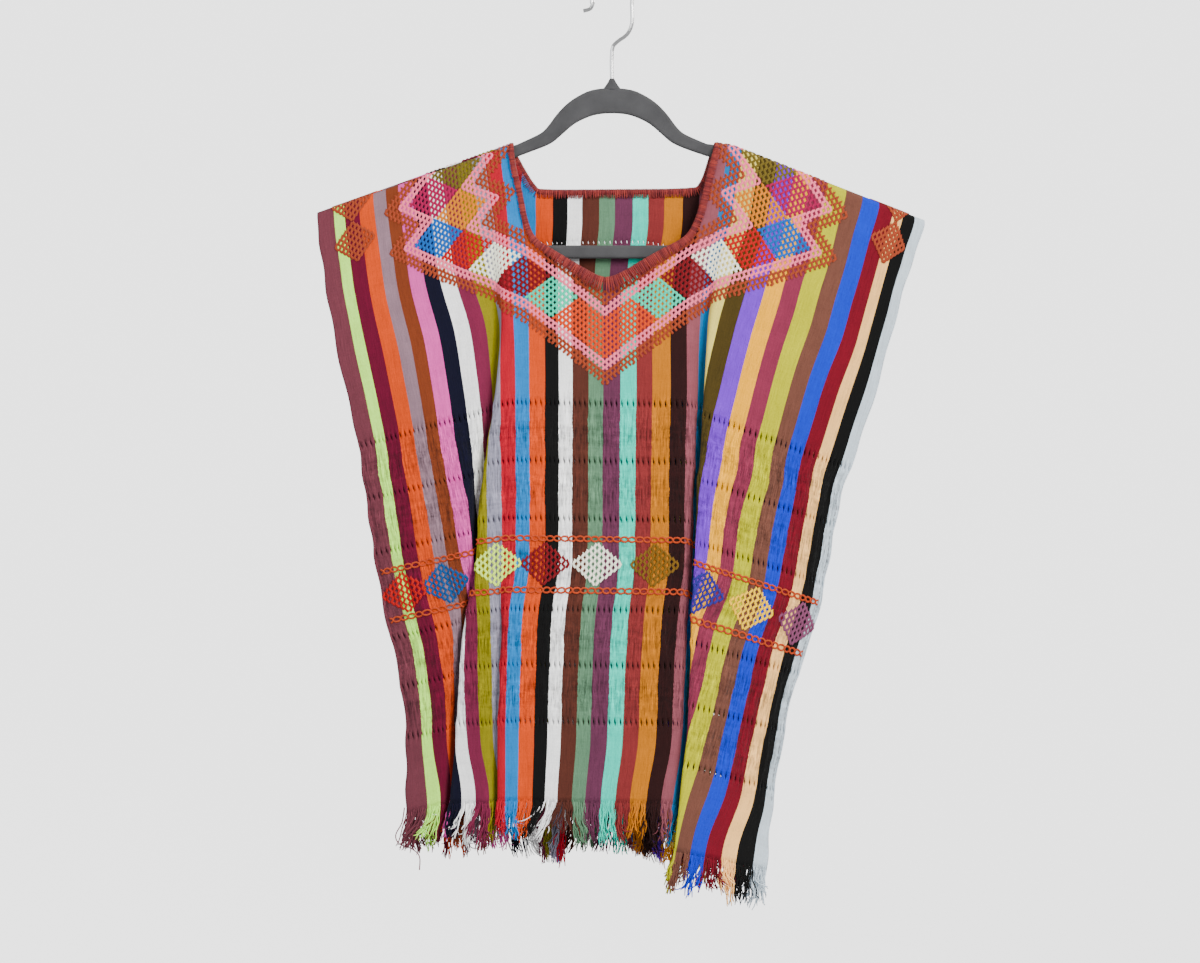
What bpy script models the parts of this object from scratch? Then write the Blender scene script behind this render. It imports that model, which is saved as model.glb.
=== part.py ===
"""A sleeveless huipil blouse on a flat hanger.

One striped cloth is folded over the arms of the hanger, sewn up its two sides and open at the neck,
armholes and hem. Each panel is a wall through weft lines: a weft line says how far below the hook's
seat the cloth hangs, and the tables of folds say where the cloth turns in at that height. The depth of
a fold is worked out from the width of cloth that it takes up. X is to the wearer's left, Y to the back
and Z up, with the origin at the hook's seat.
"""

import math
from collections import namedtuple

import bpy
from mathutils import Vector

MM = 0.001

# The cloth, in millimetres
CLOTH_WIDTH = 486.0
STRIPES = 38
STRIPE = CLOTH_WIDTH / STRIPES
WALL = 1.5
SEAM_GAP = 0.3
BEND = 3.2  # how far the cloth's stiffness rounds a fold, along the cloth
BEND_WEIGHTS = ((-1.6, 0.12), (-0.8, 0.23), (0.0, 0.30), (0.8, 0.23), (1.6, 0.12))
FOLD_FLOOR = 5.0  # width of a fold's round bottom
ROLL = 3.9  # radius of the cloth's middle over the hanger's arms
RIDGE_GAP = 0.4  # half the gap on the shoulder fold, between the middles of the two walls
HEM = 517.0  # cloth length from the shoulder fold to the hem
FRINGE = 36.0
FRINGE_WALL = 1.5
FRINGE_GAP = 0.98  # between the hem's edge and the solid of the fringe
FOLD_LEAN = math.radians(30.0)  # the folds tuck in at a slant, not straight back
EDGE_REACH = 110.0  # width over which a panel rounds from its side edge to its full depth
BACK_DEPTH = 0.9  # the back stands out a little less than the front
BACK_SAG = 18.0  # and its hem hangs this much lower in the middle

RIDGE = 128.4  # the shoulder fold's middle below the hook's seat
ROLL_DROP = 2.4  # how far the wefts start above the ridge, for the cloth that the roll takes up

# A weft line: its cloth length below the shoulder fold, how far its middle hangs below the hook's seat,
# how much further its side edges and the two main folds hang, and how far the panel's middle and its
# edges stand out.
Weft = namedtuple("Weft", "length middle left_edge left_fold right_fold right_edge depth edge_depth")
WEFTS = [
    Weft(0, RIDGE - ROLL_DROP, 57.6, 10, -1, 63.6, 4, 4),
    Weft(50, 182, 52, 9, 3, 60, 6, 5.5),
    Weft(100, 235, 45, 9, 7, 58, 9, 6),
    Weft(150, 286, 40, 9, 9, 56, 13, 5),
    Weft(200, 337, 36, 10, 11, 54, 17, 2),
    Weft(246, 383, 32, 13, 16, 53, 20.5, 0.9),
    Weft(292, 429, 30, 13, 20, 54, 24, 0.9),
    Weft(330, 466, 29, 14, 21, 54, 26, 0.9),
    Weft(364, 501, 26, 13, 27, 54, 28, 0.9),
    Weft(408, 545, 21, 11, 33, 56, 30, 0.9),
    Weft(453, 590, 16, 8, 35, 58, 32, 0.9),
    Weft(485, 622, 14, 6, 38, 58, 33, 2),
    Weft(HEM, 654, 13, 5, 40, 58, 34, 4),
    Weft(HEM + FRINGE, 688, 12, 5, 42, 56, 34, 5),
]

# The two side edges by the distance below the hook's seat
Side = namedtuple("Side", "below left right")
SIDES = [
    Side(130, -237, 252),
    Side(190, -236, 251),
    Side(226, -232, 240),
    Side(275, -224, 226),
    Side(320, -215, 214),
    Side(368, -204, 199),
    Side(416, -197, 183),
    Side(464, -190, 174),
    Side(512, -181, 164),
    Side(560, -170, 148),
    Side(608, -165, 137),
    Side(652, -165, 130),
    Side(696, -166, 125),
    Side(750, -167, 122),
]

# A fold at some distance below the hook's seat: its middle and the width of its mouth, and the stripes,
# counted from the left edge, where the cloth turns in and comes out again.
Fold = namedtuple("Fold", "below x mouth turns_in comes_out")
LEFT_FOLD = [
    Fold(130, -98, 20, 11.7, 13.26),
    Fold(150, -98, 20, 11.5, 13.06),
    Fold(190, -98, 20, 11.05, 12.63),
    Fold(226, -99, 20, 10.6, 12.42),
    Fold(275, -97, 16, 9.75, 12.2),
    Fold(320, -99, 12, 9.2, 11.7),
    Fold(368, -104, 9, 8.4, 11.05),
    Fold(416, -110, 6, 7.25, 10.5),
    Fold(464, -112, 5, 6.5, 10.2),
    Fold(512, -121, 5, 4.55, 8.9),
    Fold(560, -126, 5, 3.6, 8.5),
    Fold(608, -129, 5, 3.1, 8.0),
    Fold(652, -133, 5, 2.1, 7.1),
    Fold(720, -138, 5, 1.8, 6.8),
]
SMALL_FOLD = [
    Fold(130, -72, 10, 14.2, 14.98),
    Fold(150, -72, 10, 14.0, 14.78),
    Fold(190, -73, 10, 13.6, 14.38),
    Fold(226, -74, 10, 13.2, 14.0),
    Fold(275, -78, 10, 12.7, 13.48),
    Fold(320, -82, 10, 12.25, 13.03),
    Fold(368, -85, 10, 11.95, 12.73),
    Fold(416, -89, 10, 11.55, 12.33),
    Fold(464, -92, 10, 11.25, 12.04),
    Fold(512, -91, 8, 11.25, 12.6),
    Fold(560, -94, 6, 10.9, 12.35),
    Fold(608, -95, 5, 10.7, 12.3),
    Fold(652, -95, 5, 10.0, 12.25),
    Fold(720, -97, 5, 10.0, 12.4),
]
RIGHT_FOLD = [
    Fold(130, 88, 20, 23.85, 25.41),
    Fold(150, 86, 20, 23.93, 25.49),
    Fold(190, 82, 20, 24.1, 25.68),
    Fold(226, 77, 20, 24.4, 26.2),
    Fold(275, 70, 14, 24.4, 26.45),
    Fold(320, 68, 10, 24.4, 26.95),
    Fold(368, 67, 7, 24.55, 27.6),
    Fold(416, 63, 6, 24.3, 27.85),
    Fold(464, 62, 5, 24.3, 28.1),
    Fold(512, 59, 5, 24.5, 29.4),
    Fold(560, 58, 5, 24.7, 30.2),
    Fold(608, 55, 5, 24.6, 31.0),
    Fold(652, 51, 5, 25.0, 31.65),
    Fold(696, 45, 5, 25.0, 31.9),
    Fold(740, 39, 5, 25.0, 32.1),
]
RIGHT_LIP = 8.0  # the right panel's fold stands this far in front of the middle panel
LIP_RISE = 300.0  # cloth length over which it comes to stand so

# The back's folds share the same spare width: where each one starts and ends, its share, and how much of
# the left fold's and the right edge's extra drop it has
BackFold = namedtuple("BackFold", "top_x hem_x share left_drop right_drop")
BACK_FOLDS = [
    BackFold(-72, -58, 0.42, 0.3, 0.0),
    BackFold(22, 12, 0.40, 0.0, 0.0),
    BackFold(92, 92, 0.18, 0.0, 0.35),
]
BACK_MOUTH = (18.0, 5.0)  # width of the mouth of a back fold, at the shoulders and from the waist down
BACK_EDGE_TURN = 9.0  # cloth that each side of the back takes to round its edge

# The neck's edge, by x and the distance below the hook's seat, from the left shoulder to the right
NeckPoint = namedtuple("NeckPoint", "x below")
FRONT_NECK = [
    NeckPoint(-79, 149),
    NeckPoint(-74, 170),
    NeckPoint(-69, 194),
    NeckPoint(-62, 208),
    NeckPoint(-49, 217),
    NeckPoint(-30, 228.5),
    NeckPoint(-14, 237.5),
    NeckPoint(-4, 240),
    NeckPoint(7, 236.5),
    NeckPoint(21, 228.5),
    NeckPoint(40, 217.5),
    NeckPoint(59, 207),
    NeckPoint(68, 193),
    NeckPoint(74, 173),
    NeckPoint(79, 152),
]
BACK_NECK = [
    NeckPoint(80, 143),
    NeckPoint(72, 165),
    NeckPoint(60, 170),
    NeckPoint(0, 171),
    NeckPoint(-52, 171),
    NeckPoint(-63, 167),
    NeckPoint(-77, 144),
]
BINDING = 2.5  # radius of the rolled, stitched edge
NECK_LEFT = -81.0
NECK_RIGHT = 84.0
CUTTER_REACH = 60.0  # how far the neck's cutters reach past the cloth

# The hanger
ARM_THICKNESS = 5.0
ARM_EDGE = 2.2  # rounding of the flocked plate's edges
ARM_DEPTH = 10.0
ARM_CLEAR = 0.3
HANGER_HALF = 224.0
ARM_START = 76.0  # where the arms leave the arch, from the middle
ARM_STATIONS = (88, 93, 98, 108, 130, 170, 205)  # where the top of an arm is set by the cloth that lies on it
ARM_UNDER_STATIONS = (95, 130, 170, 202)
ARCH_STEPS = 3  # points of the outline between two of the arch's
HANGER_END_DROP = 26.0
BAR_TOP = 212.0
BAR_BOTTOM = 222.5
ARCH_TOP = [
    (0, 85.8),
    (16, 87.4),
    (28, 92.8),
    (37, 99.3),
    (44.5, 107.3),
    (50.5, 115.4),
    (55.5, 120.8),
    (62, 124.6),
]
ARCH_UNDER = [
    (0, 106.2),
    (9, 106.7),
    (18, 108.8),
    (30, 114.6),
    (40.5, 123.5),
    (47, 129),
    (54, 132.7),
    (64, 136.5),
]
WIRE = 1.5
HOOK_RADIUS = 16.5
# From the collar up to the round of the hook
HOOK_ROUTE = [(0, -80), (0, -56), (4, -49), (12, -43), (16, -34)]
HOOK_TIP = [(-15, -16), (-17, -22), (-23, -24)]
COLLAR_FOOT = 85.8
COLLAR_TOP = 80.0
COLLAR_RADII = (8.6, 2.3)

# The shoulder fold is level between the arms, and the cloth's two halves hang apart only below it
SHOULDER_FLAT = 78.0
SHOULDER_BLEND = 150.0

# How finely the walls are built: the cloth lengths of the rows and the columns of each stretch
ROLL_ROWS = [0, ROLL * math.pi / 6, ROLL * math.pi / 3, ROLL * math.pi / 2]
ROWS = [
    28, 52, 76, 100, 125, 150, 175, 200, 223, 246, 269,
    292, 316, 340, 364, 386, 408, 430, 453, 475, 496, HEM,
]
PANEL_STEPS = [0.0, 0.22, 0.44, 0.66, 0.86]
WALL_STEPS = [0.0, 0.2, 0.8]
FLOOR_STEPS = [0.0]


def slopes(places, values):
    """Slopes of the curve through the values that never swings past them."""
    chords = [(values[i + 1] - values[i]) / (places[i + 1] - places[i]) for i in range(len(places) - 1)]
    found = [chords[0]]
    for before, after in zip(chords, chords[1:]):
        found.append(0.0 if before * after <= 0 else 2 * before * after / (before + after))
    return found + [chords[-1]]


def read(table, column, at):
    """The value of a table's column at a place in its first column, on a smooth curve."""
    places = [row[0] for row in table]
    values = [getattr(row, column) for row in table]
    at = min(max(at, places[0]), places[-1])
    i = max(0, min(len(places) - 2, sum(1 for place in places if place <= at) - 1))
    span = places[i + 1] - places[i]
    t = (at - places[i]) / span
    slope = slopes(places, values)
    return (
        values[i] * (1 + 2 * t) * (1 - t) ** 2
        + slope[i] * span * t * (1 - t) ** 2
        + values[i + 1] * t * t * (3 - 2 * t)
        - slope[i + 1] * span * t * t * (1 - t)
    )


def side_x(below, left):
    return read(SIDES, "left" if left else "right", below)


def panel_depth(x, below, depth, edge_depth):
    """How far a panel stands out at x, rounding away to its two side edges."""
    inset = min(x - side_x(below, True), side_x(below, False) - x)
    share = min(max(inset / EDGE_REACH, 0.0), 1.0)
    return edge_depth + (depth - edge_depth) * math.sin(share * math.pi / 2)


def back_fold(number, below):
    """The back's fold as a Fold, from the cloth that the width at that height leaves over."""
    left, right = side_x(below, True), side_x(below, False)
    spare = max(0.0, CLOTH_WIDTH - (right - left) - 2 * BACK_EDGE_TURN)
    down = min(max((below - RIDGE) / HEM, 0.0), 1.0)
    mouth = BACK_MOUTH[0] + (BACK_MOUTH[1] - BACK_MOUTH[0]) * min(1.0, down * 2)
    fold = BACK_FOLDS[number]
    taken = sum(other.share for other in BACK_FOLDS[:number]) * spare
    middle = fold.top_x + (fold.hem_x - fold.top_x) * down
    flat = (CLOTH_WIDTH - spare) / (right - left)
    turns_in = ((middle - mouth / 2 - left) * flat + taken) / STRIPE
    comes_out = turns_in + (mouth * flat + fold.share * spare) / STRIPE
    return Fold(below, middle, mouth, turns_in, comes_out)


def front_fold(table, below):
    return Fold(below, *(read(table, column, below) for column in Fold._fields[1:]))


def fold_corners(find, over, under, depth_over, depth_under, lip):
    """The sharp corners of one fold: where it turns in, the two of its floor, and where it comes out."""
    first, second = find(over), find(under)
    turn, out = first.x - first.mouth / 2, second.x + second.mouth / 2
    walls = (second.comes_out - second.turns_in + first.comes_out - first.turns_in) / 2 * STRIPE - FOLD_FLOOR
    flare = (first.mouth + second.mouth) / 2 - FOLD_FLOOR
    spare = math.sqrt(max(walls * walls - flare * flare, 0.0))
    stand = (depth_over + depth_under + lip) / 2
    bottom = stand - spare * math.cos(FOLD_LEAN) / 2
    middle = (turn + out) / 2 + (stand - bottom) * math.tan(FOLD_LEAN)
    return [
        (turn, depth_over, over),
        (middle - FOLD_FLOOR / 2, bottom, over * 0.55 + under * 0.45),
        (middle + FOLD_FLOOR / 2, bottom, over * 0.45 + under * 0.55),
        (out, depth_under + lip, under),
    ]


def weft_corners(length, back):
    """The sharp corners of a weft line, from the left edge to the right: x, how far out, how far below."""
    weft = Weft(length, *(read(WEFTS, column, length) for column in Weft._fields[1:]))
    scale = BACK_DEPTH if back else 1.0
    sag = BACK_SAG * (length / HEM) ** 2 if back else 0.0
    middle = weft.middle + sag

    def depth_at(x, below):
        return panel_depth(x, below, weft.depth * scale, weft.edge_depth)

    def levelled(below, x):
        """Near the shoulder fold the front and the back hang at the same level."""
        knots = [
            (side_x(middle, True), weft.left_edge),
            (LEFT_FOLD[0].x, weft.left_fold),
            (-SHOULDER_FLAT, 0.0),
            (SHOULDER_FLAT, 0.0),
            (RIGHT_FOLD[0].x, weft.right_fold),
            (side_x(middle, False), weft.right_edge),
        ]
        own = min(1.0, length / SHOULDER_BLEND)
        for (x_before, before), (x_after, after) in zip(knots, knots[1:]):
            if x_before <= x <= x_after:
                share = (x - x_before) / (x_after - x_before)
                common = weft.middle + before + (after - before) * share
                return common + (below - common) * own
        return below

    def corners(find, over, under, lip=0.0):
        first, second = find(over), find(under)
        over = levelled(over, first.x - first.mouth / 2)
        under = levelled(under, second.x + second.mouth / 2)
        return fold_corners(
            find,
            over,
            under,
            depth_at(first.x - first.mouth / 2, over),
            depth_at(second.x + second.mouth / 2, under),
            lip * min(1.0, length / LIP_RISE),
        )

    found = [(side_x(weft.middle + weft.left_edge, True), weft.edge_depth, weft.middle + weft.left_edge)]
    if back:
        for number, fold in enumerate(BACK_FOLDS):
            level = middle + weft.left_fold * fold.left_drop + weft.right_edge * fold.right_drop
            found += corners(lambda below, n=number: back_fold(n, below), level, level)
    else:
        folds = (
            (LEFT_FOLD, weft.left_fold, 4, 0),
            (SMALL_FOLD, 3, 1, 0),
            (RIGHT_FOLD, 3, weft.right_fold, RIGHT_LIP),
        )
        for table, over, under, lip in folds:
            found += corners(lambda below, t=table: front_fold(t, below), middle + over, middle + under, lip)
    right_below = weft.middle + weft.right_edge
    found.append((side_x(right_below, False), weft.edge_depth, right_below))
    return found


def rounded(corners):
    """Points of the weft line through its corners, rounded by the cloth's stiffness."""
    points = [Vector(corner) for corner in corners]
    folds = (len(points) - 2) // 4
    lengths = [0.0]
    for before, after in zip(points, points[1:]):
        lengths.append(lengths[-1] + (after - before).length)

    def sharp(along):
        along = min(max(along, 0.0), lengths[-1])
        i = max(0, min(len(points) - 2, sum(1 for value in lengths if value <= along) - 1))
        share = (along - lengths[i]) / (lengths[i + 1] - lengths[i])
        return points[i].lerp(points[i + 1], share)

    places = []
    stretches = (PANEL_STEPS, WALL_STEPS, FLOOR_STEPS, WALL_STEPS) * folds + (PANEL_STEPS,)
    for start, end, steps in zip(lengths, lengths[1:], stretches):
        places += [start + (end - start) * step for step in steps]
    places.append(lengths[-1])

    line = []
    for along in places:
        reach = min(BEND, along, lengths[-1] - along)
        total = Vector((0.0, 0.0, 0.0))
        for offset, weight in BEND_WEIGHTS:
            total += sharp(along + offset * reach) * weight
        line.append(total)
    return line


def weft_line(length, back):
    """A weft line's points in the object's frame, in metres."""
    arc = ROLL * math.pi / 2
    facing = 1.0 if back else -1.0
    line = []
    for x, out, below in rounded(weft_corners(max(length, arc), back)):
        if length < arc:
            turn = length / ROLL
            out = RIDGE_GAP + (out - RIDGE_GAP) * math.sin(turn)
            below -= ROLL * math.cos(turn)
        line.append(Vector((x, facing * out, -below)) * MM)
    return line


def panel_mesh(name, lengths, back):
    """The middle surface of a stretch of a panel, with its faces looking out."""
    rows = [weft_line(length, back) for length in lengths]
    across = len(rows[0])
    faces = []
    for i in range(len(rows) - 1):
        for j in range(across - 1):
            a, b = i * across + j, i * across + j + 1
            c, d = b + across, a + across
            faces.append((a, b, c, d) if back else (a, d, c, b))
    mesh = bpy.data.meshes.new(name)
    mesh.from_pydata([tuple(point) for row in rows for point in row], [], faces)
    return mesh


def material(name, colour, roughness, metallic=0.0):
    made = bpy.data.materials.new(name)
    made.use_nodes = True
    shader = made.node_tree.nodes["Principled BSDF"]
    shader.inputs["Base Color"].default_value = (*colour, 1.0)
    shader.inputs["Roughness"].default_value = roughness
    shader.inputs["Metallic"].default_value = metallic
    return made


def add(name, data, group, finish):
    made = bpy.data.objects.new(name, data)
    group.objects.link(made)
    data.materials.append(finish)
    return made


def thicken(piece, wall):
    shell = piece.modifiers.new("wall", "SOLIDIFY")
    shell.thickness = wall * MM
    shell.offset = 0.0
    return piece


def smooth_route(points, steps, closed=False):
    """Points on a Catmull-Rom curve through the given ones."""
    count = len(points)
    route = []
    for i in range(count if closed else count - 1):
        if closed:
            a, b, c, d = (points[(i + k) % count] for k in (-1, 0, 1, 2))
        else:
            a, b, c, d = (points[min(max(i + k, 0), count - 1)] for k in (-1, 0, 1, 2))
        for step in range(steps):
            t = step / steps
            cubic = (3 * b - a - 3 * c + d) * t**3
            route.append(0.5 * ((2 * b) + (c - a) * t + (2 * a - 5 * b + 4 * c - d) * t**2 + cubic))
    if not closed:
        route.append(points[-1])
    return route


def tube(name, route, radius, group, finish, closed=False):
    """A tube of the given radius along a route in millimetres."""
    data = bpy.data.curves.new(name, "CURVE")
    data.dimensions = "3D"
    data.bevel_depth = radius * MM
    data.bevel_resolution = 2
    data.use_fill_caps = not closed
    spline = data.splines.new("POLY")
    spline.points.add(len(route) - 1)
    for point, place in zip(spline.points, route):
        point.co = (*(place * MM), 1.0)
    spline.use_cyclic_u = closed
    return add(name, data, group, finish)


def ridge(x):
    """How far the shoulder fold lies below the hook's seat at x, where the lower of the two halves has it."""
    lowest = 0.0
    for back in (False, True):
        line = rounded(weft_corners(ROLL * math.pi / 2, back))
        for before, after in zip(line, line[1:]):
            if before[0] <= x <= after[0]:
                share = (x - before[0]) / (after[0] - before[0])
                lowest = max(lowest, before[2] + (after[2] - before[2]) * share - ROLL)
    return lowest


def arm_top(x):
    return ridge(x) + WALL / 2 + ARM_CLEAR


def neck_curve():
    return smooth_route(neck_route(), 2, True)


def neck_route():
    """The middle of the neck's binding: down the front, over each arm of the hanger and along the back."""
    def over_arm(x, turns):
        centre = arm_top(x) + ARM_THICKNESS / 2
        radius = ARM_THICKNESS / 2 + BINDING + 2 * ARM_CLEAR
        return [Vector((x, -radius * math.cos(turn), -centre + radius * math.sin(turn))) for turn in turns]

    def on_panel(point, back):
        depth = read(WEFTS, "depth", point.below - RIDGE) * (BACK_DEPTH if back else 1.0)
        out = max(depth, ARM_THICKNESS / 2 + BINDING + 2 * ARM_CLEAR)
        return Vector((point.x, out if back else -out, -point.below))

    turns = [math.radians(angle) for angle in (10, 50, 90, 130, 170)]
    route = over_arm(NECK_LEFT, turns[::-1])
    route += [on_panel(point, False) for point in FRONT_NECK]
    route += over_arm(NECK_RIGHT, turns)
    route += [on_panel(point, True) for point in BACK_NECK]
    return route


def neck_cutter(name, back, group):
    """A prism that opens a panel inside the neck's binding, and over the shoulder fold above it."""
    clear = BINDING + 2 * SEAM_GAP
    curve = neck_curve()
    start = next(i for i in range(len(curve)) if (curve[i].y > 0) == back and (curve[i - 1].y > 0) != back)
    turned = curve[start:] + curve[:start]
    outline = [point for point in turned if (point.y > 0) == back]
    if back:
        outline.reverse()
    outset = []
    for i, point in enumerate(outline):
        along = outline[min(i + 1, len(outline) - 1)] - outline[max(i - 1, 0)]
        away = Vector((along.z, 0, -along.x)).normalized()
        outset.append(point + away * clear)
    top = CUTTER_REACH / 2 - RIDGE
    outset = [Vector((outset[0].x, 0, top))] + outset + [Vector((outset[-1].x, 0, top))]
    near, far = (-0.01, CUTTER_REACH) if back else (-CUTTER_REACH, 0.01)
    count = len(outset)
    points_3d = [Vector((p.x, y, p.z)) * MM for y in (near, far) for p in outset]
    faces = [tuple(range(count)), tuple(range(2 * count - 1, count - 1, -1))]
    faces += [(i, i + count, (i + 1) % count + count, (i + 1) % count) for i in range(count)]
    mesh = bpy.data.meshes.new(name)
    mesh.from_pydata([tuple(p) for p in points_3d], [], faces)
    cutter = bpy.data.objects.new(name, mesh)
    group.objects.link(cutter)
    cutter.hide_render = True
    cutter.display_type = "WIRE"
    return cutter


def make_panel(name, back, group, cutters, finish):
    panel = thicken(add(name, panel_mesh(name, ROLL_ROWS + ROWS, back), group, finish), WALL)
    cutter = neck_cutter(name + "_neck", back, cutters)
    cut = panel.modifiers.new("neck", "BOOLEAN")
    cut.object = cutter
    cut.operation = "DIFFERENCE"
    return panel


def make_fringe(name, back, group, finish):
    lengths = [HEM + FRINGE_GAP, HEM + FRINGE]
    return thicken(add(name, panel_mesh(name, lengths, back), group, finish), FRINGE_WALL)


def make_binding(group, finish):
    return tube("neck_binding", neck_curve(), BINDING, group, finish, True)


def smooth_outline(points):
    """Points on a smooth curve through the given ones. The first lies on the hanger's middle line."""
    x, below = points[1]
    mirrored = [(-x, below)] + points
    route = smooth_route([Vector((x, below, 0.0)) for x, below in mirrored], ARCH_STEPS)
    return [(point.x, point.y) for point in route[ARCH_STEPS:]]


def make_hanger_frame(group, finish):
    """The flat plate of the hanger: its outline and the opening between the arms and the bar."""
    def outer_half(side):
        tip = arm_top(HANGER_HALF * side)
        arm = [(x, arm_top(x * side)) for x in (ARM_START, *ARM_STATIONS)]
        end = [
            (HANGER_HALF - 5, tip + 0.5),
            (HANGER_HALF, tip + 5),
            (HANGER_HALF - 1, tip + HANGER_END_DROP),
            (HANGER_HALF - 9, BAR_BOTTOM - 3),
            (HANGER_HALF - 20, BAR_BOTTOM),
        ]
        return smooth_outline(ARCH_TOP + arm[:1]) + arm[1:] + end

    def inner_half(side):
        arm = [(x, arm_top(x * side) + ARM_DEPTH) for x in (ARM_START, *ARM_UNDER_STATIONS)]
        end = [
            (HANGER_HALF - 13, BAR_TOP - 14),
            (HANGER_HALF - 15, BAR_TOP - 4),
            (HANGER_HALF - 24, BAR_TOP),
        ]
        return smooth_outline(ARCH_UNDER + arm[:1]) + arm[1:] + end

    data = bpy.data.curves.new("hanger_frame", "CURVE")
    data.dimensions = "2D"
    data.fill_mode = "BOTH"
    data.bevel_depth = ARM_EDGE * MM
    data.bevel_resolution = 2
    data.extrude = (ARM_THICKNESS / 2 - ARM_EDGE) * MM
    data.offset = -ARM_EDGE * MM
    for half in (outer_half, inner_half):
        spline = data.splines.new("POLY")
        outline = half(1) + [(-x, below) for x, below in half(-1)[:0:-1]]
        spline.points.add(len(outline) - 1)
        for point, (x, below) in zip(spline.points, outline):
            point.co = (x * MM, -below * MM, 0.0, 1.0)
        spline.use_cyclic_u = True
    frame = add("hanger_frame", data, group, finish)
    frame.rotation_euler = (math.pi / 2, 0, 0)
    return frame


def make_collar(group, finish):
    foot, top = COLLAR_RADII
    height = COLLAR_FOOT - SEAM_GAP - COLLAR_TOP
    bpy.ops.mesh.primitive_cone_add(
        vertices=24,
        radius1=foot * MM,
        radius2=top * MM,
        depth=height * MM,
        location=(0, 0, -(COLLAR_TOP + height / 2) * MM),
    )
    collar = bpy.context.object
    collar.name = "hanger_collar"
    collar.scale = (1.0, ARM_THICKNESS / (2 * foot), 1.0)
    bpy.ops.object.transform_apply(location=False, rotation=False, scale=True)
    collar.data.materials.append(finish)
    for holder in collar.users_collection:
        holder.objects.unlink(collar)
    group.objects.link(collar)
    return collar


def make_hook(group, finish):
    """The wire: up from the collar, out to the right, round over the seat and out at its tip."""
    centre = -HOOK_RADIUS + WIRE
    route = [Vector((x, 0, z)) for x, z in HOOK_ROUTE]
    route[0].z = -COLLAR_TOP + SEAM_GAP
    for degrees in range(-15, 196, 30):
        turn = math.radians(degrees)
        route.append(Vector((HOOK_RADIUS * math.cos(turn), 0, centre + HOOK_RADIUS * math.sin(turn))))
    route += [Vector((x, 0, z)) for x, z in HOOK_TIP]
    return tube("hanger_hook", smooth_route(route, 3), WIRE, group, finish)


def main():
    for existing in list(bpy.data.objects):
        bpy.data.objects.remove(existing, do_unlink=True)
    group = bpy.data.collections.new("huipil_blouse")
    cutters = bpy.data.collections.new("cutters")
    for collection in (group, cutters):
        bpy.context.scene.collection.children.link(collection)

    make_panel("front_panel", False, group, cutters, material("front_cloth", (0.45, 0.16, 0.18), 0.85))
    make_panel("back_panel", True, group, cutters, material("back_cloth", (0.42, 0.2, 0.16), 0.85))
    make_fringe("front_fringe", False, group, material("front_threads", (0.5, 0.22, 0.2), 0.9))
    make_fringe("back_fringe", True, group, material("back_threads", (0.4, 0.24, 0.2), 0.9))
    make_binding(group, material("binding_thread", (0.39, 0.08, 0.07), 0.8))
    make_hanger_frame(group, material("flock", (0.09, 0.095, 0.1), 0.95))
    make_collar(group, material("flocked_collar", (0.09, 0.095, 0.1), 0.95))
    make_hook(group, material("chrome_wire", (0.75, 0.75, 0.77), 0.15, 1.0))


main()
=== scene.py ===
"""The looks of a striped huipil blouse on its flat hanger, built round its solid model.

The cloth is a smooth surface over its own two measures, in millimetres: u across the stripes from the left
selvedge and v down from the shoulder fold. Its weft lines and folds are those of the model. All that lies on
the cloth (net embroidery, chain stitch, seams, binding and fringe) is placed by u and v.
"""

import math
import random
from collections import namedtuple
from itertools import groupby

import bpy
import numpy as np
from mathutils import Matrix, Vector


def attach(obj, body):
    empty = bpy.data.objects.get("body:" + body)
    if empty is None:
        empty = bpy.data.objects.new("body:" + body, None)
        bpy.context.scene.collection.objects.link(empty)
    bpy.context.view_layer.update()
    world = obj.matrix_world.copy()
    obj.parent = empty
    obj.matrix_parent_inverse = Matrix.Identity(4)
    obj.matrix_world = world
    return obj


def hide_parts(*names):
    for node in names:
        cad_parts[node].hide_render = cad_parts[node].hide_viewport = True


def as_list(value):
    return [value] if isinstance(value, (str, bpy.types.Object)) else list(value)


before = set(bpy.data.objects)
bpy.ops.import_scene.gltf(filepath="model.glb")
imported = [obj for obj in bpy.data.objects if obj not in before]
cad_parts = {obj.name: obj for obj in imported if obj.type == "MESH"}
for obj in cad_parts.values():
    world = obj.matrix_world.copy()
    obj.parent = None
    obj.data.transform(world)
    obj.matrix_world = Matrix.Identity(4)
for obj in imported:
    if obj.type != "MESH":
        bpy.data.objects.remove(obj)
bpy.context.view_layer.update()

MM = 0.001

# ---------------- the cloth's form, as in the model

CLOTH_WIDTH = 486.0
STRIPES = 38
STRIPE = CLOTH_WIDTH / STRIPES
BEND = 3.2  # how far the sharp corners of the folds are rounded
BEND_WEIGHTS = ((-1.6, 0.12), (-0.8, 0.23), (0.0, 0.30), (0.8, 0.23), (1.6, 0.12))
FOLD_FLOOR = 5.0  # width of a fold's floor
FOLD_LEAN = math.radians(30.0)
ROLL = 3.9  # radius of the shoulder fold
ROLL_DROP = 2.4
RIDGE = 128.4  # from the hook's seat down to the shoulder fold
HEM = 517.0
FRINGE = 36.0
EDGE_REACH = 110.0  # the cloth's depth grows over this much from each side
BACK_DEPTH = 0.9  # of the front's
BACK_SAG = 18.0
RIGHT_LIP = 8.0  # how much further forward the right fold's outer side stands
LIP_RISE = 300.0
BACK_MOUTH = (18.0, 5.0)  # of the back's folds at the top and at the hem
BACK_EDGE_TURN = 9.0
SHOULDER_FLAT = 78.0
SHOULDER_BLEND = 150.0

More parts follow.
